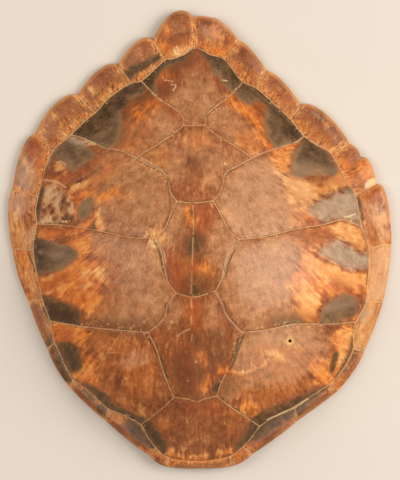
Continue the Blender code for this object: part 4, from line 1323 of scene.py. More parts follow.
# %% Clouds on the right costal scutes
CLOUDS["C4R"] = (
    ("olive", (236, 80), (250, 66), (268, 74), (290, 94), (312, 120), (316, 138), (302, 142), (288, 146),
     (277, 149), (268, 140), (264, 128), (264, 115), (267, 107), (258, 102), (249, 105), (241, 101),
     (235, 94)),
    ("amber", (224, 98), (231, 95), (240, 100), (250, 106), (258, 114), (265, 125), (268, 138), (274, 146),
     (268, 150), (262, 138), (256, 127), (246, 117), (234, 107)),
    ("red", (252, 103), (259, 100), (266, 104), (266, 112), (260, 118), (254, 112)),
    ("dark", (280, 112), (290, 118), (301, 133), (296, 140), (284, 132), (277, 121)),
    ("dark", (246, 82), (257, 88), (271, 101), (266, 102), (254, 92)),
    ("honey", (236, 136), (252, 132), (264, 146), (252, 156), (238, 148)),
    ("haze", (206, 112), (222, 104), (238, 112), (252, 130), (262, 148), (250, 158), (216, 132),
     (204, 124)),
)
CLOUDS["C3R"] = (
    ("olive", (292, 175), (291, 163), (293, 152), (299, 145), (306, 134), (313, 138), (321, 146),
     (330, 154), (335, 164), (338, 173), (330, 177), (318, 175), (305, 178)),
    ("dark", (306, 140), (313, 142), (317, 150), (310, 155), (304, 150)),
    ("honey", (318, 144), (330, 151), (340, 168), (348, 184), (342, 178), (334, 166), (326, 154)),
    ("mist", (232, 178), (258, 160), (284, 170), (306, 182), (316, 194), (308, 214), (292, 226), (262, 236),
     (236, 236), (224, 204)),
    ("amber", (272, 152), (280, 147), (298, 140), (295, 147), (290, 154), (289, 172), (280, 172),
     (273, 160)),
    ("peach", (275, 153), (291, 147), (289, 174), (277, 172)),
    ("mist", (294, 164), (330, 169), (332, 173), (296, 173)),
    ("peach", (284, 176), (304, 179), (326, 180), (342, 168), (352, 184), (342, 188), (324, 194),
     (312, 204), (302, 206), (292, 202), (284, 190)),
    ("honey", (288, 196), (302, 206), (318, 214), (312, 228), (298, 228), (290, 214)),
    ("amber", (302, 210), (312, 214), (318, 222), (308, 220)),
    ("red", (300, 177), (318, 179), (338, 176), (346, 182), (330, 183), (308, 181)),
    ("red", (336, 158), (342, 168), (350, 184), (344, 180), (337, 170)),
    ("grey", (310, 210), (318, 202), (332, 195), (350, 190), (362, 199), (362, 226), (350, 220), (340, 217),
     (324, 221), (313, 217)),
    ("olive", (340, 189), (351, 187), (357, 195), (350, 198), (344, 195)),
    ("haze", (218, 190), (240, 166), (262, 154), (274, 156), (286, 190), (294, 226), (262, 238), (238, 240),
     (212, 202)),
)
CLOUDS["C2R"] = (
    ("grey", (320, 253), (328, 246), (338, 241), (350, 246), (360, 252), (374, 253), (374, 266), (359, 269),
     (348, 269), (336, 262)),
    ("olive", (320, 312), (328, 303), (337, 297), (347, 294), (355, 298), (359, 311), (351, 317),
     (342, 317), (337, 323), (328, 325), (320, 322)),
    ("honey", (298, 238), (322, 226), (343, 221), (361, 229), (368, 242), (356, 248), (344, 239),
     (330, 240), (322, 248), (306, 252)),
    ("peach", (338, 226), (354, 226), (368, 240), (368, 254), (356, 250), (344, 240), (334, 234)),
    ("mist", (240, 252), (286, 242), (312, 258), (316, 278), (292, 296), (262, 308), (238, 292)),
    ("mist", (328, 306), (350, 302), (352, 305), (330, 311)),
    ("red", (330, 279), (342, 280), (354, 290), (348, 295), (336, 291)),
    ("amber", (303, 254), (322, 256), (338, 267), (356, 272), (370, 272), (368, 300), (352, 294),
     (336, 296), (322, 304), (314, 322), (302, 318), (296, 302), (292, 286), (298, 268)),
    ("peach", (302, 258), (324, 259), (340, 270), (356, 274), (368, 276), (366, 292), (344, 288),
     (322, 280)),
    ("peach", (296, 282), (312, 284), (320, 300), (312, 318), (302, 314)),
    ("red", (303, 316), (312, 314), (318, 321), (306, 323)),
    ("amber", (357, 311), (362, 306), (364, 310), (358, 320), (354, 320)),
    ("olive", (281, 323), (290, 320), (301, 319), (300, 324), (282, 326)),
    ("faint", (268, 320), (284, 316), (298, 315), (298, 322), (274, 327)),
    ("haze", (238, 242), (300, 230), (304, 250), (292, 290), (298, 320), (266, 330), (242, 334), (224, 312),
     (216, 292), (226, 262)),
)
CLOUDS["C1R"] = (
    ("amber", (332, 334), (344, 328), (356, 330), (352, 348), (344, 366), (334, 374), (330, 366),
     (334, 350)),
    ("peach", (334, 336), (350, 332), (352, 344), (344, 360), (337, 362), (338, 348)),
    ("dark", (334, 351), (338, 353), (336, 362), (333, 372), (330, 371), (332, 361)),
    ("dark", (352, 336), (355, 348), (350, 362), (343, 374), (336, 377), (342, 366), (348, 352)),
    ("honey", (284, 358), (304, 360), (316, 357), (330, 362), (332, 376), (320, 388), (296, 396),
     (270, 404), (244, 402), (240, 392), (264, 386), (288, 376)),
    ("honey", (246, 350), (276, 346), (304, 344), (322, 352), (318, 372), (296, 384), (262, 386),
     (242, 374)),
    ("mist", (246, 342), (284, 330), (318, 338), (322, 362), (300, 378), (270, 384), (244, 382),
     (238, 362)),
    ("amber", (311, 358), (320, 361), (328, 374), (322, 384), (313, 376)),
    ("rubbed", (238, 336), (246, 338), (240, 352), (234, 368), (226, 372), (230, 352)),
    ("dark", (252, 422), (256, 415), (270, 408), (290, 400), (305, 393), (318, 388), (326, 387), (322, 396),
     (300, 416), (264, 438)),
    ("amber", (242, 404), (248, 404), (260, 412), (254, 417)),
    ("amber", (320, 374), (330, 376), (334, 382), (324, 384)),
    ("peach", (286, 341), (290, 337), (294, 341), (290, 345)),
    ("faint", (222, 390), (226, 378), (234, 376), (232, 388), (224, 396)),
    ("haze", (242, 334), (300, 324), (328, 330), (330, 350), (300, 358), (284, 384), (240, 394), (220, 396),
     (228, 366)),
)

# %% Clouds on the rim scutes
CLOUDS["M12L"] = (
    ("amber", (156, 46), (162, 40), (170, 44), (172, 52), (166, 58), (158, 56)),
    ("red", (164, 50), (174, 41), (182, 33), (189, 33), (187, 42), (178, 47), (168, 56)),
    ("peach", (171, 54), (178, 48), (188, 48), (190, 54), (182, 58), (174, 59)),
    ("amber", (160, 36), (165, 29), (170, 32), (167, 42)),
    ("rubbed", (186, 14), (198, 14), (200, 46), (186, 50)),
)
CLOUDS["M12R"] = (
    ("mist", (200, 26), (214, 24), (222, 34), (218, 40), (204, 36)),
    ("amber", (203, 24), (212, 22), (221, 31), (227, 40), (218, 42), (208, 34)),
    ("red", (194, 14), (204, 14), (216, 15), (215, 20), (204, 20), (196, 21)),
    ("red", (203, 26), (208, 26), (210, 32), (204, 32)),
    ("amber", (200, 44), (218, 46), (232, 50), (224, 59), (210, 56)),
    ("rubbed", (188, 14), (200, 14), (202, 46), (188, 50)),
)
CLOUDS["M11L"] = (
    ("amber", (138, 82), (148, 73), (162, 62), (168, 62), (164, 72), (152, 80), (143, 86)),
    ("olive", (116, 77), (128, 69), (144, 61), (156, 55), (160, 58), (150, 65), (138, 73), (130, 82),
     (122, 86)),
)
CLOUDS["M10L"] = (
    ("peach", (91, 88), (96, 87), (98, 93), (93, 94)),
)
CLOUDS["M9L"] = (
    ("peach", (51, 113), (57, 111), (59, 118), (54, 120)),
    ("peach", (35, 134), (41, 126), (45, 130), (41, 138)),
    ("red", (50, 140), (57, 137), (59, 144), (53, 148)),
    ("peach", (62, 131), (66, 131), (66, 136), (63, 137)),
)
CLOUDS["M8L"] = (
    ("red", (25, 158), (29, 141), (36, 135), (43, 144), (41, 158), (32, 165)),
    ("mist", (20, 158), (28, 159), (34, 172), (33, 190), (25, 194), (16, 184)),
    ("peach", (22, 160), (28, 163), (33, 176), (32, 188), (27, 180)),
    ("amber", (34, 162), (42, 153), (46, 162), (43, 180), (38, 196), (33, 192), (36, 176)),
)
CLOUDS["M7L"] = (
    ("honey", (8, 196), (30, 192), (36, 210), (32, 246), (10, 248)),
    ("mist", (12, 194), (25, 190), (29, 202), (27, 214), (18, 217), (11, 208)),
    ("red", (28, 206), (34, 206), (35, 222), (31, 227), (27, 217)),
    ("peach", (12, 214), (18, 214), (28, 238), (27, 246), (14, 247)),
    ("mist", (24, 240), (30, 229), (37, 224), (38, 236), (30, 243)),
)
CLOUDS["M6L"] = (
    ("honey", (12, 250), (32, 250), (40, 270), (44, 300), (28, 302), (18, 280)),
    ("amber", (16, 252), (26, 252), (32, 268), (36, 296), (28, 298), (20, 278)),
    ("peach", (24, 270), (28, 272), (36, 292), (30, 294)),
)
CLOUDS["M5L"] = (
    ("dark", (42, 308), (47, 309), (51, 320), (48, 323), (43, 314)),
    ("dark", (49, 334), (53, 333), (57, 343), (52, 345), (47, 346)),
    ("peach", (46, 322), (50, 322), (52, 332), (49, 334)),
)
CLOUDS["M4L"] = (
    ("dark", (50, 343), (58, 342), (66, 357), (75, 375), (75, 384), (66, 382), (56, 366)),
)
CLOUDS["M3L"] = (
    ("olive", (82, 388), (90, 392), (94, 400), (88, 398)),
    ("dark", (97, 404), (104, 405), (108, 412), (105, 418), (99, 412)),
    ("amber", (90, 394), (98, 396), (108, 406), (106, 412), (96, 404)),
)
CLOUDS["M2L"] = (
    ("dark", (125, 421), (136, 420), (146, 432), (156, 446), (152, 448), (141, 443), (131, 434)),
    ("amber", (108, 408), (118, 411), (128, 416), (122, 422), (110, 418)),
    ("amber", (134, 443), (144, 446), (152, 452), (144, 454)),
)
CLOUDS["M1L"] = (
    ("amber", (150, 447), (160, 452), (166, 458), (158, 460), (152, 456)),
)
CLOUDS["M1R"] = (
    ("amber", (234, 452), (243, 447), (248, 452), (240, 460), (232, 460)),
)
CLOUDS["M2R"] = (
    ("dark", (240, 444), (250, 424), (262, 410), (278, 402), (294, 396), (297, 411), (288, 419), (277, 427),
     (266, 436), (256, 441), (246, 444)),
    ("amber", (245, 446), (256, 441), (266, 438), (262, 444), (250, 450)),
)
CLOUDS["M3R"] = (
    ("dark", (290, 414), (290, 398), (308, 384), (332, 376), (325, 390), (317, 398), (308, 406),
     (297, 417)),
)
CLOUDS["M4R"] = (
    ("dark", (344, 371), (350, 360), (355, 349), (357, 352), (351, 365), (343, 376)),
    ("amber", (328, 386), (334, 376), (342, 370), (348, 376), (338, 392), (330, 396)),
    ("honey", (350, 372), (360, 350), (366, 356), (352, 380)),
)
CLOUDS["M5R"] = (
    ("grey", (358, 309), (362, 298), (367, 300), (365, 312), (360, 320)),
    ("peach", (362, 296), (390, 296), (386, 320), (366, 354), (350, 350), (358, 322)),
    ("red", (379, 304), (386, 306), (382, 326), (372, 344), (368, 347), (376, 324)),
)
CLOUDS["M6R"] = (
    ("peach", (362, 244), (396, 240), (396, 270), (388, 308), (362, 304), (366, 276)),
    ("red", (369, 249), (374, 248), (376, 264), (371, 268)),
    ("mist", (370, 244), (394, 244), (394, 270), (386, 302), (366, 302), (371, 276)),
)
CLOUDS["M7R"] = (
    ("honey", (354, 194), (372, 184), (394, 190), (394, 246), (368, 248), (362, 226)),
    ("red", (372, 185), (380, 184), (386, 195), (388, 209), (381, 210), (375, 198)),
    ("red", (360, 208), (366, 206), (371, 216), (371, 226), (365, 223)),
    ("red", (367, 228), (374, 228), (377, 240), (371, 244)),
    ("peach", (374, 204), (380, 212), (388, 214), (394, 240), (380, 246), (372, 222)),
    ("mist", (366, 202), (376, 206), (386, 213), (388, 236), (380, 242), (373, 226), (368, 214)),
)
CLOUDS["M8R"] = (
    ("honey", (332, 154), (350, 152), (362, 158), (374, 164), (378, 186), (354, 196), (344, 180)),
    ("amber", (360, 160), (370, 162), (377, 180), (366, 182), (360, 172)),
    ("amber", (342, 164), (350, 162), (356, 178), (352, 186), (345, 176)),
    ("cream", (365, 185), (372, 179), (378, 181), (372, 187), (367, 189)),
)
CLOUDS["M9R"] = (
    ("honey", (294, 120), (306, 124), (320, 130), (334, 142), (330, 152), (316, 145), (302, 134)),
    ("peach", (322, 122), (328, 120), (332, 126), (326, 130)),
)
CLOUDS["M10R"] = (
    ("honey", (274, 92), (286, 92), (300, 106), (294, 118), (284, 113), (274, 104)),
)
CLOUDS["M11R"] = (
    ("honey", (226, 54), (238, 58), (252, 72), (262, 84), (254, 90), (240, 78), (226, 64)),
)
CLOUDS["N"] = (
    ("amber", (164, 457), (174, 461), (174, 466), (166, 464)),
    ("amber", (226, 461), (233, 456), (234, 464), (228, 467)),
)
# Not every paint is the horn's own colour: one is a painted sheen, the haze and the grey are partly painted
# sheen, and a few pale marks are painted highlights
PAINTS = (
    "haze", "honey", "red", "amber", "peach", "mist", "faint", "olive", "dark", "crack", "grey", "wear",
    "cream", "rubbed",
)
print(sum(len(clouds) for clouds in CLOUDS.values()), "clouds on", len(CLOUDS), "scutes")

# %% [markdown]
# ## The grain of the horn
#
# Horn grows outward from one corner of each scute, and the streaks in it fan out from there.
# On the scutes along the middle they run nearly straight towards the head. So the grain is
# measured from a far or near point for each scute: the angle round that point is the place
# across the grain, the distance from it the place along the grain. Noise that is stretched
# along the second becomes streaks. The rim scutes on the flanks have such a point beyond one
# end, so that their grain runs along the rim. On the other rim scutes it fans out from the dome.

# %% Where the grain of each scute starts
GRAIN_FROM = {
    "C4L": (180, 66), "C3L": (168, 120), "C2L": (163, 205), "C1L": (146, 286),
    "C4R": (212, 64), "C3R": (208, 138), "C2R": (226, 202), "C1R": (240, 286),
    "M8L": (60, 90), "M7L": (8, 110), "M6L": (5, 180), "M5L": (10, 200),
    "M7R": (350, 90), "M6R": (330, 420), "M5R": (330, 420),
}
FAR_GRAIN = 500  # pixels above a vertebral scute
SCUTE_SHIFT = 7.3  # in the noise, from one scute to the next


def grain_start(name):
    """The point that a scute's streaks fan out from."""
    if name in GRAIN_FROM:
        return GRAIN_FROM[name]
    if name.startswith("V"):
        return MIDDLE_X, SEEDS[name][1] - FAR_GRAIN
    return DOME_CENTRE


def grain(spots, number):
    """Metres across and along the grain, and a shift that sets scutes apart."""
    name = SCUTES[number]
    start, seed = np.array(grain_start(name)), np.array(SEEDS[name])
    away = spots - start
    usual = math.dist(start, seed)
    heading = math.atan2(*(seed - start)[::-1])
    angle = (np.arctan2(away[:, 1], away[:, 0]) - heading + math.pi) % (2 * math.pi) - math.pi
    across, along = angle * usual, np.linalg.norm(away, axis=1)
    shift = np.full(len(spots), SCUTE_SHIFT * number)
    return np.column_stack((across * METRES_PER_PIXEL, along * METRES_PER_PIXEL, shift))


# %% Measure grain and clouds at every corner of every triangle
FAR = -9.0  # stored where a paint is far away


def scute_fields(spots, number):
    """For the spots of one scute: the depth in each paint."""
    name = SCUTES[number]
    depth = {paint: np.full(len(spots), FAR) for paint in PAINTS}
    for paint, *points in CLOUDS.get(name, ()):
        depth[paint] = np.maximum(depth[paint], patch_depth(spots, points))
    for scute, paint, half_width, _, *line in STROKES:
        if scute == name:
            line = stroke_line(line)
            near = near_line(spots, line, -FAR)
            fresh = 2 * (half_width - to_stroke(spots[near], line))
            depth[paint][near] = np.maximum(depth[paint][near], fresh)
    for scute, paint, *places in GRAINS:
        if scute == name:
            for i, place in enumerate(places):
                fresh = 2 * (GRAIN_RADII[i % 4] - np.linalg.norm(spots - place, axis=1))
                depth[paint] = np.maximum(depth[paint], fresh)
    return depth


def corner_fields():
    """Every paint's depth and the grain, for each corner of each triangle."""
    corners = FACES.ravel()
    label = np.repeat(LABELS, 3)
    paints = {paint: np.full(len(corners), FAR) for paint in PAINTS}
    grains = np.zeros((len(corners), 3))
    spots = pixels(PLANS)
    for number in range(len(SCUTES)):
        mine = np.flatnonzero(label == number)
        if not len(mine):
            continue
        used, back = np.unique(corners[mine], return_inverse=True)
        grains[mine] = grain(spots[used], number)[back]
        for paint, depth in scute_fields(spots[used], number).items():
            paints[paint][mine] = depth[back]
    return paints, grains


def store(name, kind, domain, values):
    """Keeps values on the mesh under a name that the material can ask for."""
    layer = mesh.attributes.new(name, kind, domain)
    key = "vector" if kind == "FLOAT_VECTOR" else "value"
    layer.data.foreach_set(key, np.asarray(values, np.float32).ravel())


paint_depths, grain_places = corner_fields()
for paint, depth in paint_depths.items():
    store(paint, "FLOAT", "CORNER", depth)
store("grain", "FLOAT_VECTOR", "CORNER", grain_places)
print("stored", ", ".join([*paint_depths, "grain"]))

# %% Measure the rim: the share across it, the distance to the edge and to the seams
radius, angle = polar(PLANS)
waist, edge_gap = girdle.at(angle), to_edge(PLANS)
below = np.zeros(len(PLANS))
below[rings[1 + len(LIP_TURNS)][0] : rings[-1][-1] + 1] = 1
dry, fold = wrinkles(PLANS)
POINT_VALUES = {
    "across": share_of_way(radius - waist, edge_gap),
    "lip": edge_gap,
    "seam": np.minimum(to_seam(PLANS), to_cross_seam(PLANS)),
    "below": below,
    "inset": waist - radius,
    "dry": dry * (1 - below),
    "fold": fold,
    "pit": np.linalg.norm(PLANS - plan(PIT), axis=1),
    "spine": to_spine(PLANS),
    "rib": to_rib(PLANS),
}
for name, values in POINT_VALUES.items():
    store(name, "FLOAT", "POINT", values)
print("stored", ", ".join(POINT_VALUES), "at", len(PLANS), "points")

# %% [markdown]
# ## Shader maths in plain signs
#
# A material is a web of nodes, and adding each by hand hides the idea behind it. This small
# class wraps a socket, so that `1 - mask` or `a * b` adds the Math node by itself. Everything
# else comes from one method that takes the kind of node, its settings and what goes into it.

# %% Sockets that can be added and multiplied
class Number:
    """One output of a node, with the signs of arithmetic."""

    def __init__(self, recipe, socket):
        self.recipe, self.socket = recipe, socket

    def math(self, operation, *numbers):
        return self.recipe.add("ShaderNodeMath", {"operation": operation}, dict(enumerate(numbers)))

    def __add__(self, other):
        return self.math("ADD", self, other)

    def __sub__(self, other):
        return self.math("SUBTRACT", self, other)

    def __rsub__(self, other):
        return self.math("SUBTRACT", other, self)

    def __mul__(self, other):
        return self.math("MULTIPLY", self, other)

    __radd__, __rmul__ = __add__, __mul__

    def at_least(self, other):
        return self.math("MAXIMUM", self, other)

    def at_most(self, other):
        return self.math("MINIMUM", self, other)

    def rise(self, low, high):
        """0 below low, 1 above high, and a smooth step between. Low may be the larger."""
        inputs = {"Value": self, "From Min": low, "From Max": high}
        return self.recipe.add("ShaderNodeMapRange", {"interpolation_type": "SMOOTHSTEP"}, inputs)


class Recipe:
    """A material and the one way to add nodes to it."""

    def __init__(self, name):
        self.material = bpy.data.materials.new(name)
        self.material.use_nodes = True
        self.tree = self.material.node_tree
        self.colour = None

    def add(self, kind, settings=None, inputs=None, output=0):
        """A new node with its settings, then its inputs, and one output of it to go on with."""
        node = self.tree.nodes.new(kind)
        for name, value in (settings or {}).items():
            setattr(node, name, value)
        for place, value in (inputs or {}).items():
            self.feed(node.inputs[place], value)
        return Number(self, node.outputs[output])

    def feed(self, socket, value):
        """Links a node's output to the socket, or sets a plain value on it."""
        if isinstance(value, Number):
            self.tree.links.new(value.socket, socket)
        else:
            socket.default_value = value

    def finish(self, inputs):
        """Sets sockets of the shader, to a value or a link."""
        for name, value in inputs.items():
            self.feed(self.tree.nodes["Principled BSDF"].inputs[name], value)

    def stored(self, name, output=2):
        """A value that was stored on the mesh. Output 1 gives it as a vector."""
        return self.add("ShaderNodeAttribute", {"attribute_name": name}, output=output)

    def place(self):
        """Places in the object's own frame: output 3 of this node."""
        return self.add("ShaderNodeTexCoord", output=3)

    def stretched(self, vector, across, along, apart=1.0):
        """The vector divided by a size across and one along, its third part multiplied by apart."""
        sizes = (1 / across, 1 / along, apart)
        return self.add("ShaderNodeVectorMath", {"operation": "MULTIPLY"}, {0: vector, 1: sizes})

    def noise(self, vector, scale=1.0, detail=2.0, roughness=0.5, wander=0.0):
        inputs = {"Vector": vector, "Scale": scale, "Detail": detail, "Roughness": roughness}
        inputs["Distortion"] = wander
        return self.add("ShaderNodeTexNoise", inputs=inputs)

    def mix(self, share, first, second):
        """The first colour, passing to the second as share goes from 0 to 1."""
        sockets = {0: share, 6: first, 7: second}  # 6, 7 and the output 2 are the ones for colours
        return self.add("ShaderNodeMix", {"data_type": "RGBA"}, sockets, output=2)

    def lay(self, share, colour):
        """Lays a colour over the ones laid before, as thick as share."""
        self.colour = self.mix(share, self.colour, colour)

    def steps(self, value, first, *stops):
        """A run of colours: from the first on to each next one, between two values."""
        for low, high, colour in stops:
            first = self.mix(value.rise(low, high), first, colour)
        return first


def shade(red, green, blue):
    """A colour as a screen shows it, from 0 to 255, turned into amounts of light."""
    parts = [v / 255 for v in (red, green, blue)]
    return (*(v / 12.92 if v <= 0.04045 else ((v + 0.055) / 1.055) ** 2.4 for v in parts), 1.0)


# %% [markdown]
# ## Polished horn
#
# Horn is brown glass more than paint: light goes in and comes back warm. Subsurface light would
# blur the fine pattern and cannot be kept in the exported model, so the depth is painted, in
# layers: the brown ground and its haze, which is partly a painted sheen, the golden and red
# clouds, the mottling of the rim scutes and their pale lip, partly a painted highlight, then the
# dark clouds, some of them painted shadow in the grooves along seams, a painted sheen, grey
# clouds that are partly painted sheen, folds painted light on their crests and dark in their
# troughs, wear with a few painted highlights, and cracks, and last the seams, with painted
# shadow beside them, and the pit, painted nearly black as shade inside. Noise along the grain
# frays every edge.

# %% Grain: noise drawn out along the growth of each scute, and even mottling
horn = Recipe("horn")
grain_at = horn.stored("grain", output=1)
place_at = horn.place()


def along_grain(across, along, detail=3.0, wander=0.6):
    """Noise drawn out along the grain."""
    drawn_out = horn.stretched(grain_at, across, along)
    return horn.noise(drawn_out, detail=detail, roughness=0.58, wander=wander)


def in_place(size, detail=3.0, roughness=0.55):
    """Noise that is the same in all directions, with spots of about this size."""
    return horn.noise(horn.stretched(place_at, size, size, 1 / size), detail=detail, roughness=roughness)


streaks, flecks = along_grain(0.0048, 0.024), along_grain(0.0026, 0.0070, 2.0, 0.3)
blotches, specks, swells = in_place(0.0095), in_place(0.0026, 2.0), in_place(0.036, 2.0)
streak, blotch, speck, swell = streaks - 0.5, blotches - 0.5, specks - 0.5, swells - 0.5
print("five kinds of noise, and four of them centred on 0")

# %% The brown ground, and the paler haze in the middle of the flank scutes: partly the horn's own tone, partly a painted sheen
DEEP, BROWN, LIGHT_BROWN = shade(112, 58, 28), shade(150, 84, 42), shade(190, 118, 68)
mottle = streaks * 0.26 + flecks * 0.30 + blotches * 0.22 + specks * 0.22 + swell * 0.2
ground = horn.steps(mottle, DEEP, (0.34, 0.51, BROWN), (0.48, 0.64, LIGHT_BROWN))
HAZE_SHEEN_DARK, HAZE_SHEEN_TAN, HAZE_SHEEN_PALE = shade(150, 92, 52), shade(186, 124, 78), shade(214, 158, 112)
haze_and_sheen_mottle = blotches * 0.44 + flecks * 0.24 + specks * 0.32 + swell * 0.25
haze_and_sheen_colour = horn.steps(haze_and_sheen_mottle, HAZE_SHEEN_DARK, (0.34, 0.54, HAZE_SHEEN_TAN), (0.46, 0.72, HAZE_SHEEN_PALE))
haze_and_sheen_colour = horn.mix(in_place(0.014).rise(0.45, 0.75) * 0.5, haze_and_sheen_colour, shade(170, 126, 80))


# %% Red and golden clouds
def cloud(name, fray, soft, cap=9.0):
    """The mask of one paint: its depth, capped so that noise makes holes in it, and frayed."""
    ragged = streak * fray + blotch * (fray * 0.7) + swell * (fray * 0.6)
    return (horn.stored(name).at_most(cap) + ragged).rise(-soft, soft)


RED, RUST, ORANGE = shade(134, 61, 28), shade(166, 80, 34), shade(206, 110, 44)
GOLD, PALE_GOLD = shade(234, 156, 80), shade(248, 198, 128)
across = horn.stored("across")
on_rim = across.rise(0.001, 0.01)
fibres = streaks + (specks - streaks) * (on_rim * 0.8)
glow = fibres * 0.42 + blotches * 0.32 + flecks * 0.26 + swell * 0.3
golden = horn.steps(glow, shade(178, 84, 34), (0.32, 0.49, shade(218, 114, 42)),
                    (0.46, 0.60, shade(238, 148, 62)), (0.57, 0.72, shade(250, 194, 112)))
rusty = horn.steps(glow, RED, (0.36, 0.52, RUST), (0.52, 0.68, ORANGE))
peachy = horn.steps(glow, shade(204, 116, 50), (0.30, 0.47, shade(232, 156, 84)),
                    (0.44, 0.64, shade(252, 198, 124)))
soft_glow = blotches * 0.5 + fibres * 0.25 + flecks * 0.25 + swell * 0.3
honeyed = horn.steps(soft_glow, BROWN, (0.36, 0.52, shade(198, 110, 50)), (0.50, 0.70, shade(230, 158, 88)))
horn.colour = ground
# The haze is partly a paler tone of the horn and partly a painted sheen of light on the polish
horn.lay(cloud("haze", 18, 9.0) * 0.85, haze_and_sheen_colour)
red_mask, amber_mask = cloud("red", 16, 5.0, 5), cloud("amber", 22, 5.0, 6)
peach_mask, honey_mask = cloud("peach", 14, 4.5, 5), cloud("honey", 30, 7.0, 6)
horn.lay(honey_mask * 0.62, honeyed)
horn.lay(amber_mask * 0.85, golden)
horn.lay(peach_mask * 0.72, peachy)
horn.lay(red_mask * 0.62, rusty)

# %% Rim scutes: mottled near the girdle, brown and clear in the middle, a pale lip at the tail, partly a painted highlight
seam = horn.stored("seam")
tailward = horn.add("ShaderNodeSeparateXYZ", inputs={0: place_at}, output=1)
crumbling = speck * 0.8 + blotch * 1.6
near_seam = (seam * 90 + crumbling).rise(0.70, 0.20)
crumbs = (across + crumbling).rise(0.54, 0.12).at_least(near_seam)
rim_mottle = blotches * 0.45 + fibres * 0.35 + specks * 0.2 + swell * 0.5
clear = horn.steps(rim_mottle, shade(116, 64, 36), (0.34, 0.52, shade(153, 90, 52)),
                   (0.50, 0.72, shade(187, 126, 86)))
mottled = horn.steps(flecks * 0.5 + specks * 0.26 + blotches * 0.24, shade(118, 62, 32),
                     (0.38, 0.47, shade(206, 122, 60)), (0.46, 0.54, GOLD), (0.53, 0.61, PALE_GOLD))
rim_colour = horn.mix(crumbs * on_rim * 0.85, clear, mottled)
marked = red_mask.at_least(amber_mask).at_least(peach_mask).at_least(honey_mask * 0.7)
horn.lay(on_rim * (1 - marked * 0.85), rim_colour)
# The pale lip is partly the horn's paler edge and partly a painted highlight along the rounded rim
lip = (horn.stored("lip") + blotch * 0.006).rise(0.0052, 0.0010)
lip = lip * (tailward.rise(-0.15, 0.10) * 0.55 + 0.2) * (swells.rise(0.36, 0.56) * 0.6 + 0.4)
horn.lay(lip, shade(228, 158, 92))

# %% Dark clouds lie deepest: olive at their thin edges, nearly black where they are thick
BLACK, OLIVE, MOSS = shade(66, 44, 24), shade(106, 74, 40), shade(144, 102, 58)
uneven = streak * 20 + swell * 22 + blotch * 24 + speck * 16
night = horn.steps(horn.stored("dark") + uneven, MOSS, (-6.0, 1.0, OLIVE), (0.0, 9.0, BLACK))
olive_depth = horn.stored("olive").at_most(8) + horn.stored("inset").rise(0.026, 0.004) * 7 + uneven
dusk = horn.steps(olive_depth, shade(156, 118, 80), (-6.0, 3.0, shade(136, 105, 72)),
                  (1.0, 11.0, shade(100, 76, 51)), (9.0, 19.0, shade(54, 41, 27)))
horn.lay(cloud("faint", 16, 5.0, 5) * 0.52, shade(96, 58, 30))
horn.lay(cloud("olive", 9, 2.4) * 0.92, dusk)
# Where dark strokes lie along a seam or the girdle they are painted shadow in the groove
horn.lay(cloud("dark", 7, 2.0) * 0.92, night)
# Painted sheen: a pale veil laid over the layers below, where the lamps shine on the polish
mist = cloud("mist", 18, 6.0, 6) * (on_rim * 0.1 + 0.22)
horn.lay(mist, horn.mix(streaks, shade(218, 166, 128), shade(244, 206, 168)))
# The grey clouds are partly grey horn and partly painted sheen, where light shines on dark horn
ash_and_sheen = horn.steps(blotches * 0.7 + specks * 0.3, shade(158, 132, 102), (0.3, 0.7, shade(194, 168, 141)))
horn.lay(cloud("grey", 14, 5.0) * 0.8, ash_and_sheen)
# Painted light and shade on the wrinkles: pale on the crest of each fold, dark in its trough
fold_highlights_and_shade = horn.steps(horn.stored("fold") + speck * 1.2, shade(94, 60, 37),
                   (-0.9, -0.1, shade(172, 108, 62)), (-0.1, 0.9, shade(224, 174, 122)))
wrinkled = (horn.stored("dry") + streak * 0.8 + blotch * 1.2).rise(0.15, 0.9)
horn.lay(wrinkled * 0.72, fold_highlights_and_shade)
# Pale marks: most are wear, a few on ridges and folds are painted highlights
horn.lay(cloud("wear", 3, 1.6) * 0.55, shade(230, 174, 124))
horn.lay(cloud("cream", 4, 1.5) * 0.75, shade(248, 212, 156))
horn.lay(cloud("crack", 2, 0.8) * 0.9, shade(40, 24, 14))

# %% Seams: a thin pale line, broken here and there, with dark beside it in places
shadow = seam.rise(0.0034, 0.0006) * (swells * 0.5 + blotches * 0.5).rise(0.44, 0.62)
horn.lay(shadow * 0.65, shade(70, 40, 20))
beside_seam = seam.rise(0.0060, 0.0012) * (swells * 0.4 + blotches * 0.6).rise(0.46, 0.60)
horn.lay(beside_seam * specks.rise(0.56, 0.68) * 0.7, PALE_GOLD)
line = (seam + speck * 0.0012 + blotch * 0.0020).rise(0.00100, 0.00020)
rubbed = cloud("rubbed", 6, 3.0) * 0.85
strength = ((blotches * 0.7 + swells * 0.3).rise(0.38, 0.58) * 0.65 + 0.25) * (1 - rubbed)
horn.lay(line * strength, shade(232, 180, 126))
pit = horn.stored("pit")
halo = (pit + speck * 0.004 + blotch * 0.004).rise(0.0068, 0.0030)
horn.lay(halo * 0.6, PALE_GOLD)
# Painted shade: the inside of the pit is painted nearly black
horn.lay(pit.rise(0.0027, 0.0014) * 0.95, shade(24, 14, 8))
horn.lay(horn.stored("below") * 0.6, shade(206, 160, 104))

# %% Shine: polished, duller in seams and in the grey clouds
fine_bump = horn.noise(horn.stretched(grain_at, 0.0016, 0.012), detail=3.0)
height = fine_bump * 0.35 + blotches + line * 0.4
bump = horn.add("ShaderNodeBump", inputs={"Strength": 0.25, "Distance": 0.0004, "Height": height})
roughness = speck * 0.12 + (line * 0.2 + cloud("grey", 10, 3.0) * 0.10 + 0.40)
horn.finish({"Base Color": horn.colour, "Roughness": roughness, "Normal": bump})
horn.finish({"Specular IOR Level": 0.25, "Coat Weight": 0.2, "Coat Roughness": 0.32, "IOR": 1.45})
print(len(horn.tree.nodes), "nodes in the horn")

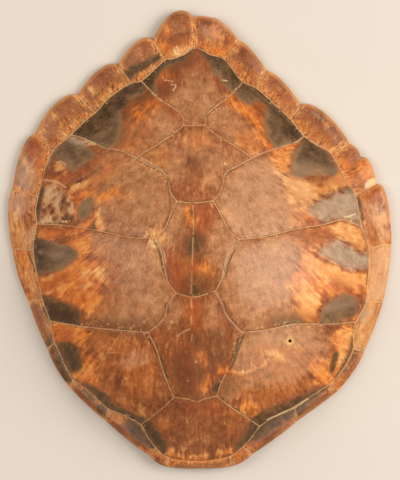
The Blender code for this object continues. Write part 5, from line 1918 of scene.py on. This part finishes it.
# %% [markdown]
# ## Dry bone
#
# The inside is bone that has dried for years: cream, stained a little brown where skin and fat
# were, and paler along the ribs and the backbone, which are rubbed by handling. It is matt, so
# it has no coat and a coarse bump.

# %% Bone
bone = Recipe("bone")
bone_at = bone.place()
stains = bone.noise(bone.stretched(bone_at, 0.030, 0.030), detail=4.0, roughness=0.6)
pores = bone.noise(bone.stretched(bone_at, 0.0018, 0.0018), detail=2.0)
ridges = bone.stored("rib").rise(0.008, 0.002).at_least(bone.stored("spine").rise(0.011, 0.003))
bone.colour = bone.mix(stains.rise(0.28, 0.74), shade(176, 140, 98), shade(216, 191, 150))
bone.lay(ridges * 0.6, shade(228, 208, 170))
bone.lay(pores.rise(0.62, 0.72) * 0.5, shade(120, 84, 52))
pitted = {"Strength": 0.5, "Distance": 0.0006, "Height": pores + stains}
bone_bump = bone.add("ShaderNodeBump", inputs=pitted)
bone.finish({"Base Color": bone.colour, "Normal": bone_bump, "Roughness": 0.72})
for material in (horn.material, bone.material):
    mesh.materials.append(material)
kinds = np.zeros(len(FACES), np.int32)
kinds[-len(INNER_FACES) :] = 1  # the inner face was added last
mesh.polygons.foreach_set("material_index", kinds)
print(int(kinds.sum()), "triangles of bone")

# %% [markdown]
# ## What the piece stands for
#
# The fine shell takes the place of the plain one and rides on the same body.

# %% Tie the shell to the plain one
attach(shell, "root")
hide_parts("carapace")

# %% [markdown]
# ## Floor, light and camera
#
# A pale matt floor, one large soft light from the right, a weaker one from the left, two faint
# ones from the tail and the head, and a dim even sky. The lens is long and looks straight down,
# as in the picture.

# %% Floor
HALF_FLOOR, FLOOR_LEVEL = 3.0, -0.0003
signs = (-1, -1), (1, -1), (1, 1), (-1, 1)
floor_mesh = bpy.data.meshes.new("floor")
floor_corners = [(x * HALF_FLOOR, y * HALF_FLOOR, FLOOR_LEVEL) for x, y in signs]
floor_mesh.from_pydata(floor_corners, [], [(0, 1, 2, 3)])
floor = stand("floor", floor_mesh)
chalk = Recipe("chalk")
dust = chalk.noise(chalk.place(), scale=6.0, detail=3.0)
chalk.finish({"Base Color": chalk.mix(dust, shade(222, 214, 204), shade(228, 221, 212)), "Roughness": 0.9})
floor_mesh.materials.append(chalk.material)

# %% Light
WARM, LIT_PLACE = (1.0, 0.94, 0.865), Vector((0, 0, 0.05))
LIGHTS = {  # square lights: the place, the size and the watts of each
    "key": ((1.70, 0.15, 1.55), 1.5, 42.0),
    "fill": ((-1.6, 0.2, 1.6), 1.5, 20.0),
    "back": ((0.1, 1.8, 1.6), 1.3, 6.0),
    "front": ((0.1, -1.8, 1.4), 1.3, 4.0),
}
for name, (place, size, power) in LIGHTS.items():
    light = bpy.data.lights.new(name, "AREA")
    light.size, light.energy, light.color = size, power, WARM
    lamp = stand(name, light)
    lamp.location = place
    lamp.rotation_euler = (LIT_PLACE - Vector(place)).to_track_quat("-Z", "Y").to_euler()

world = bpy.data.worlds.new("sky")
world.use_nodes = True
sky = world.node_tree.nodes["Background"].inputs
sky["Color"].default_value = (1.0, 0.945, 0.875, 1)
sky["Strength"].default_value = 0.30
bpy.context.scene.world = world
bpy.context.scene.view_settings.view_transform = "Standard"
print(len(LIGHTS), "lights and the sky")

# %% Camera
SENSOR, PICTURE_WIDTH, PICTURE_HEIGHT = 36.0, 400, 480  # in millimetres, in pixels
camera_data = bpy.data.cameras.new("camera")
camera_data.sensor_width = SENSOR
camera_data.lens = SENSOR * LENS_HEIGHT / (PICTURE_HEIGHT * METRES_PER_PIXEL)
camera = stand("camera", camera_data)
camera.location = (*(plan((PICTURE_WIDTH / 2, PICTURE_HEIGHT / 2)) - CENTRE[:2]), LENS_HEIGHT)
bpy.context.scene.camera = camera
print("lens", round(camera_data.lens, 1), "mm")
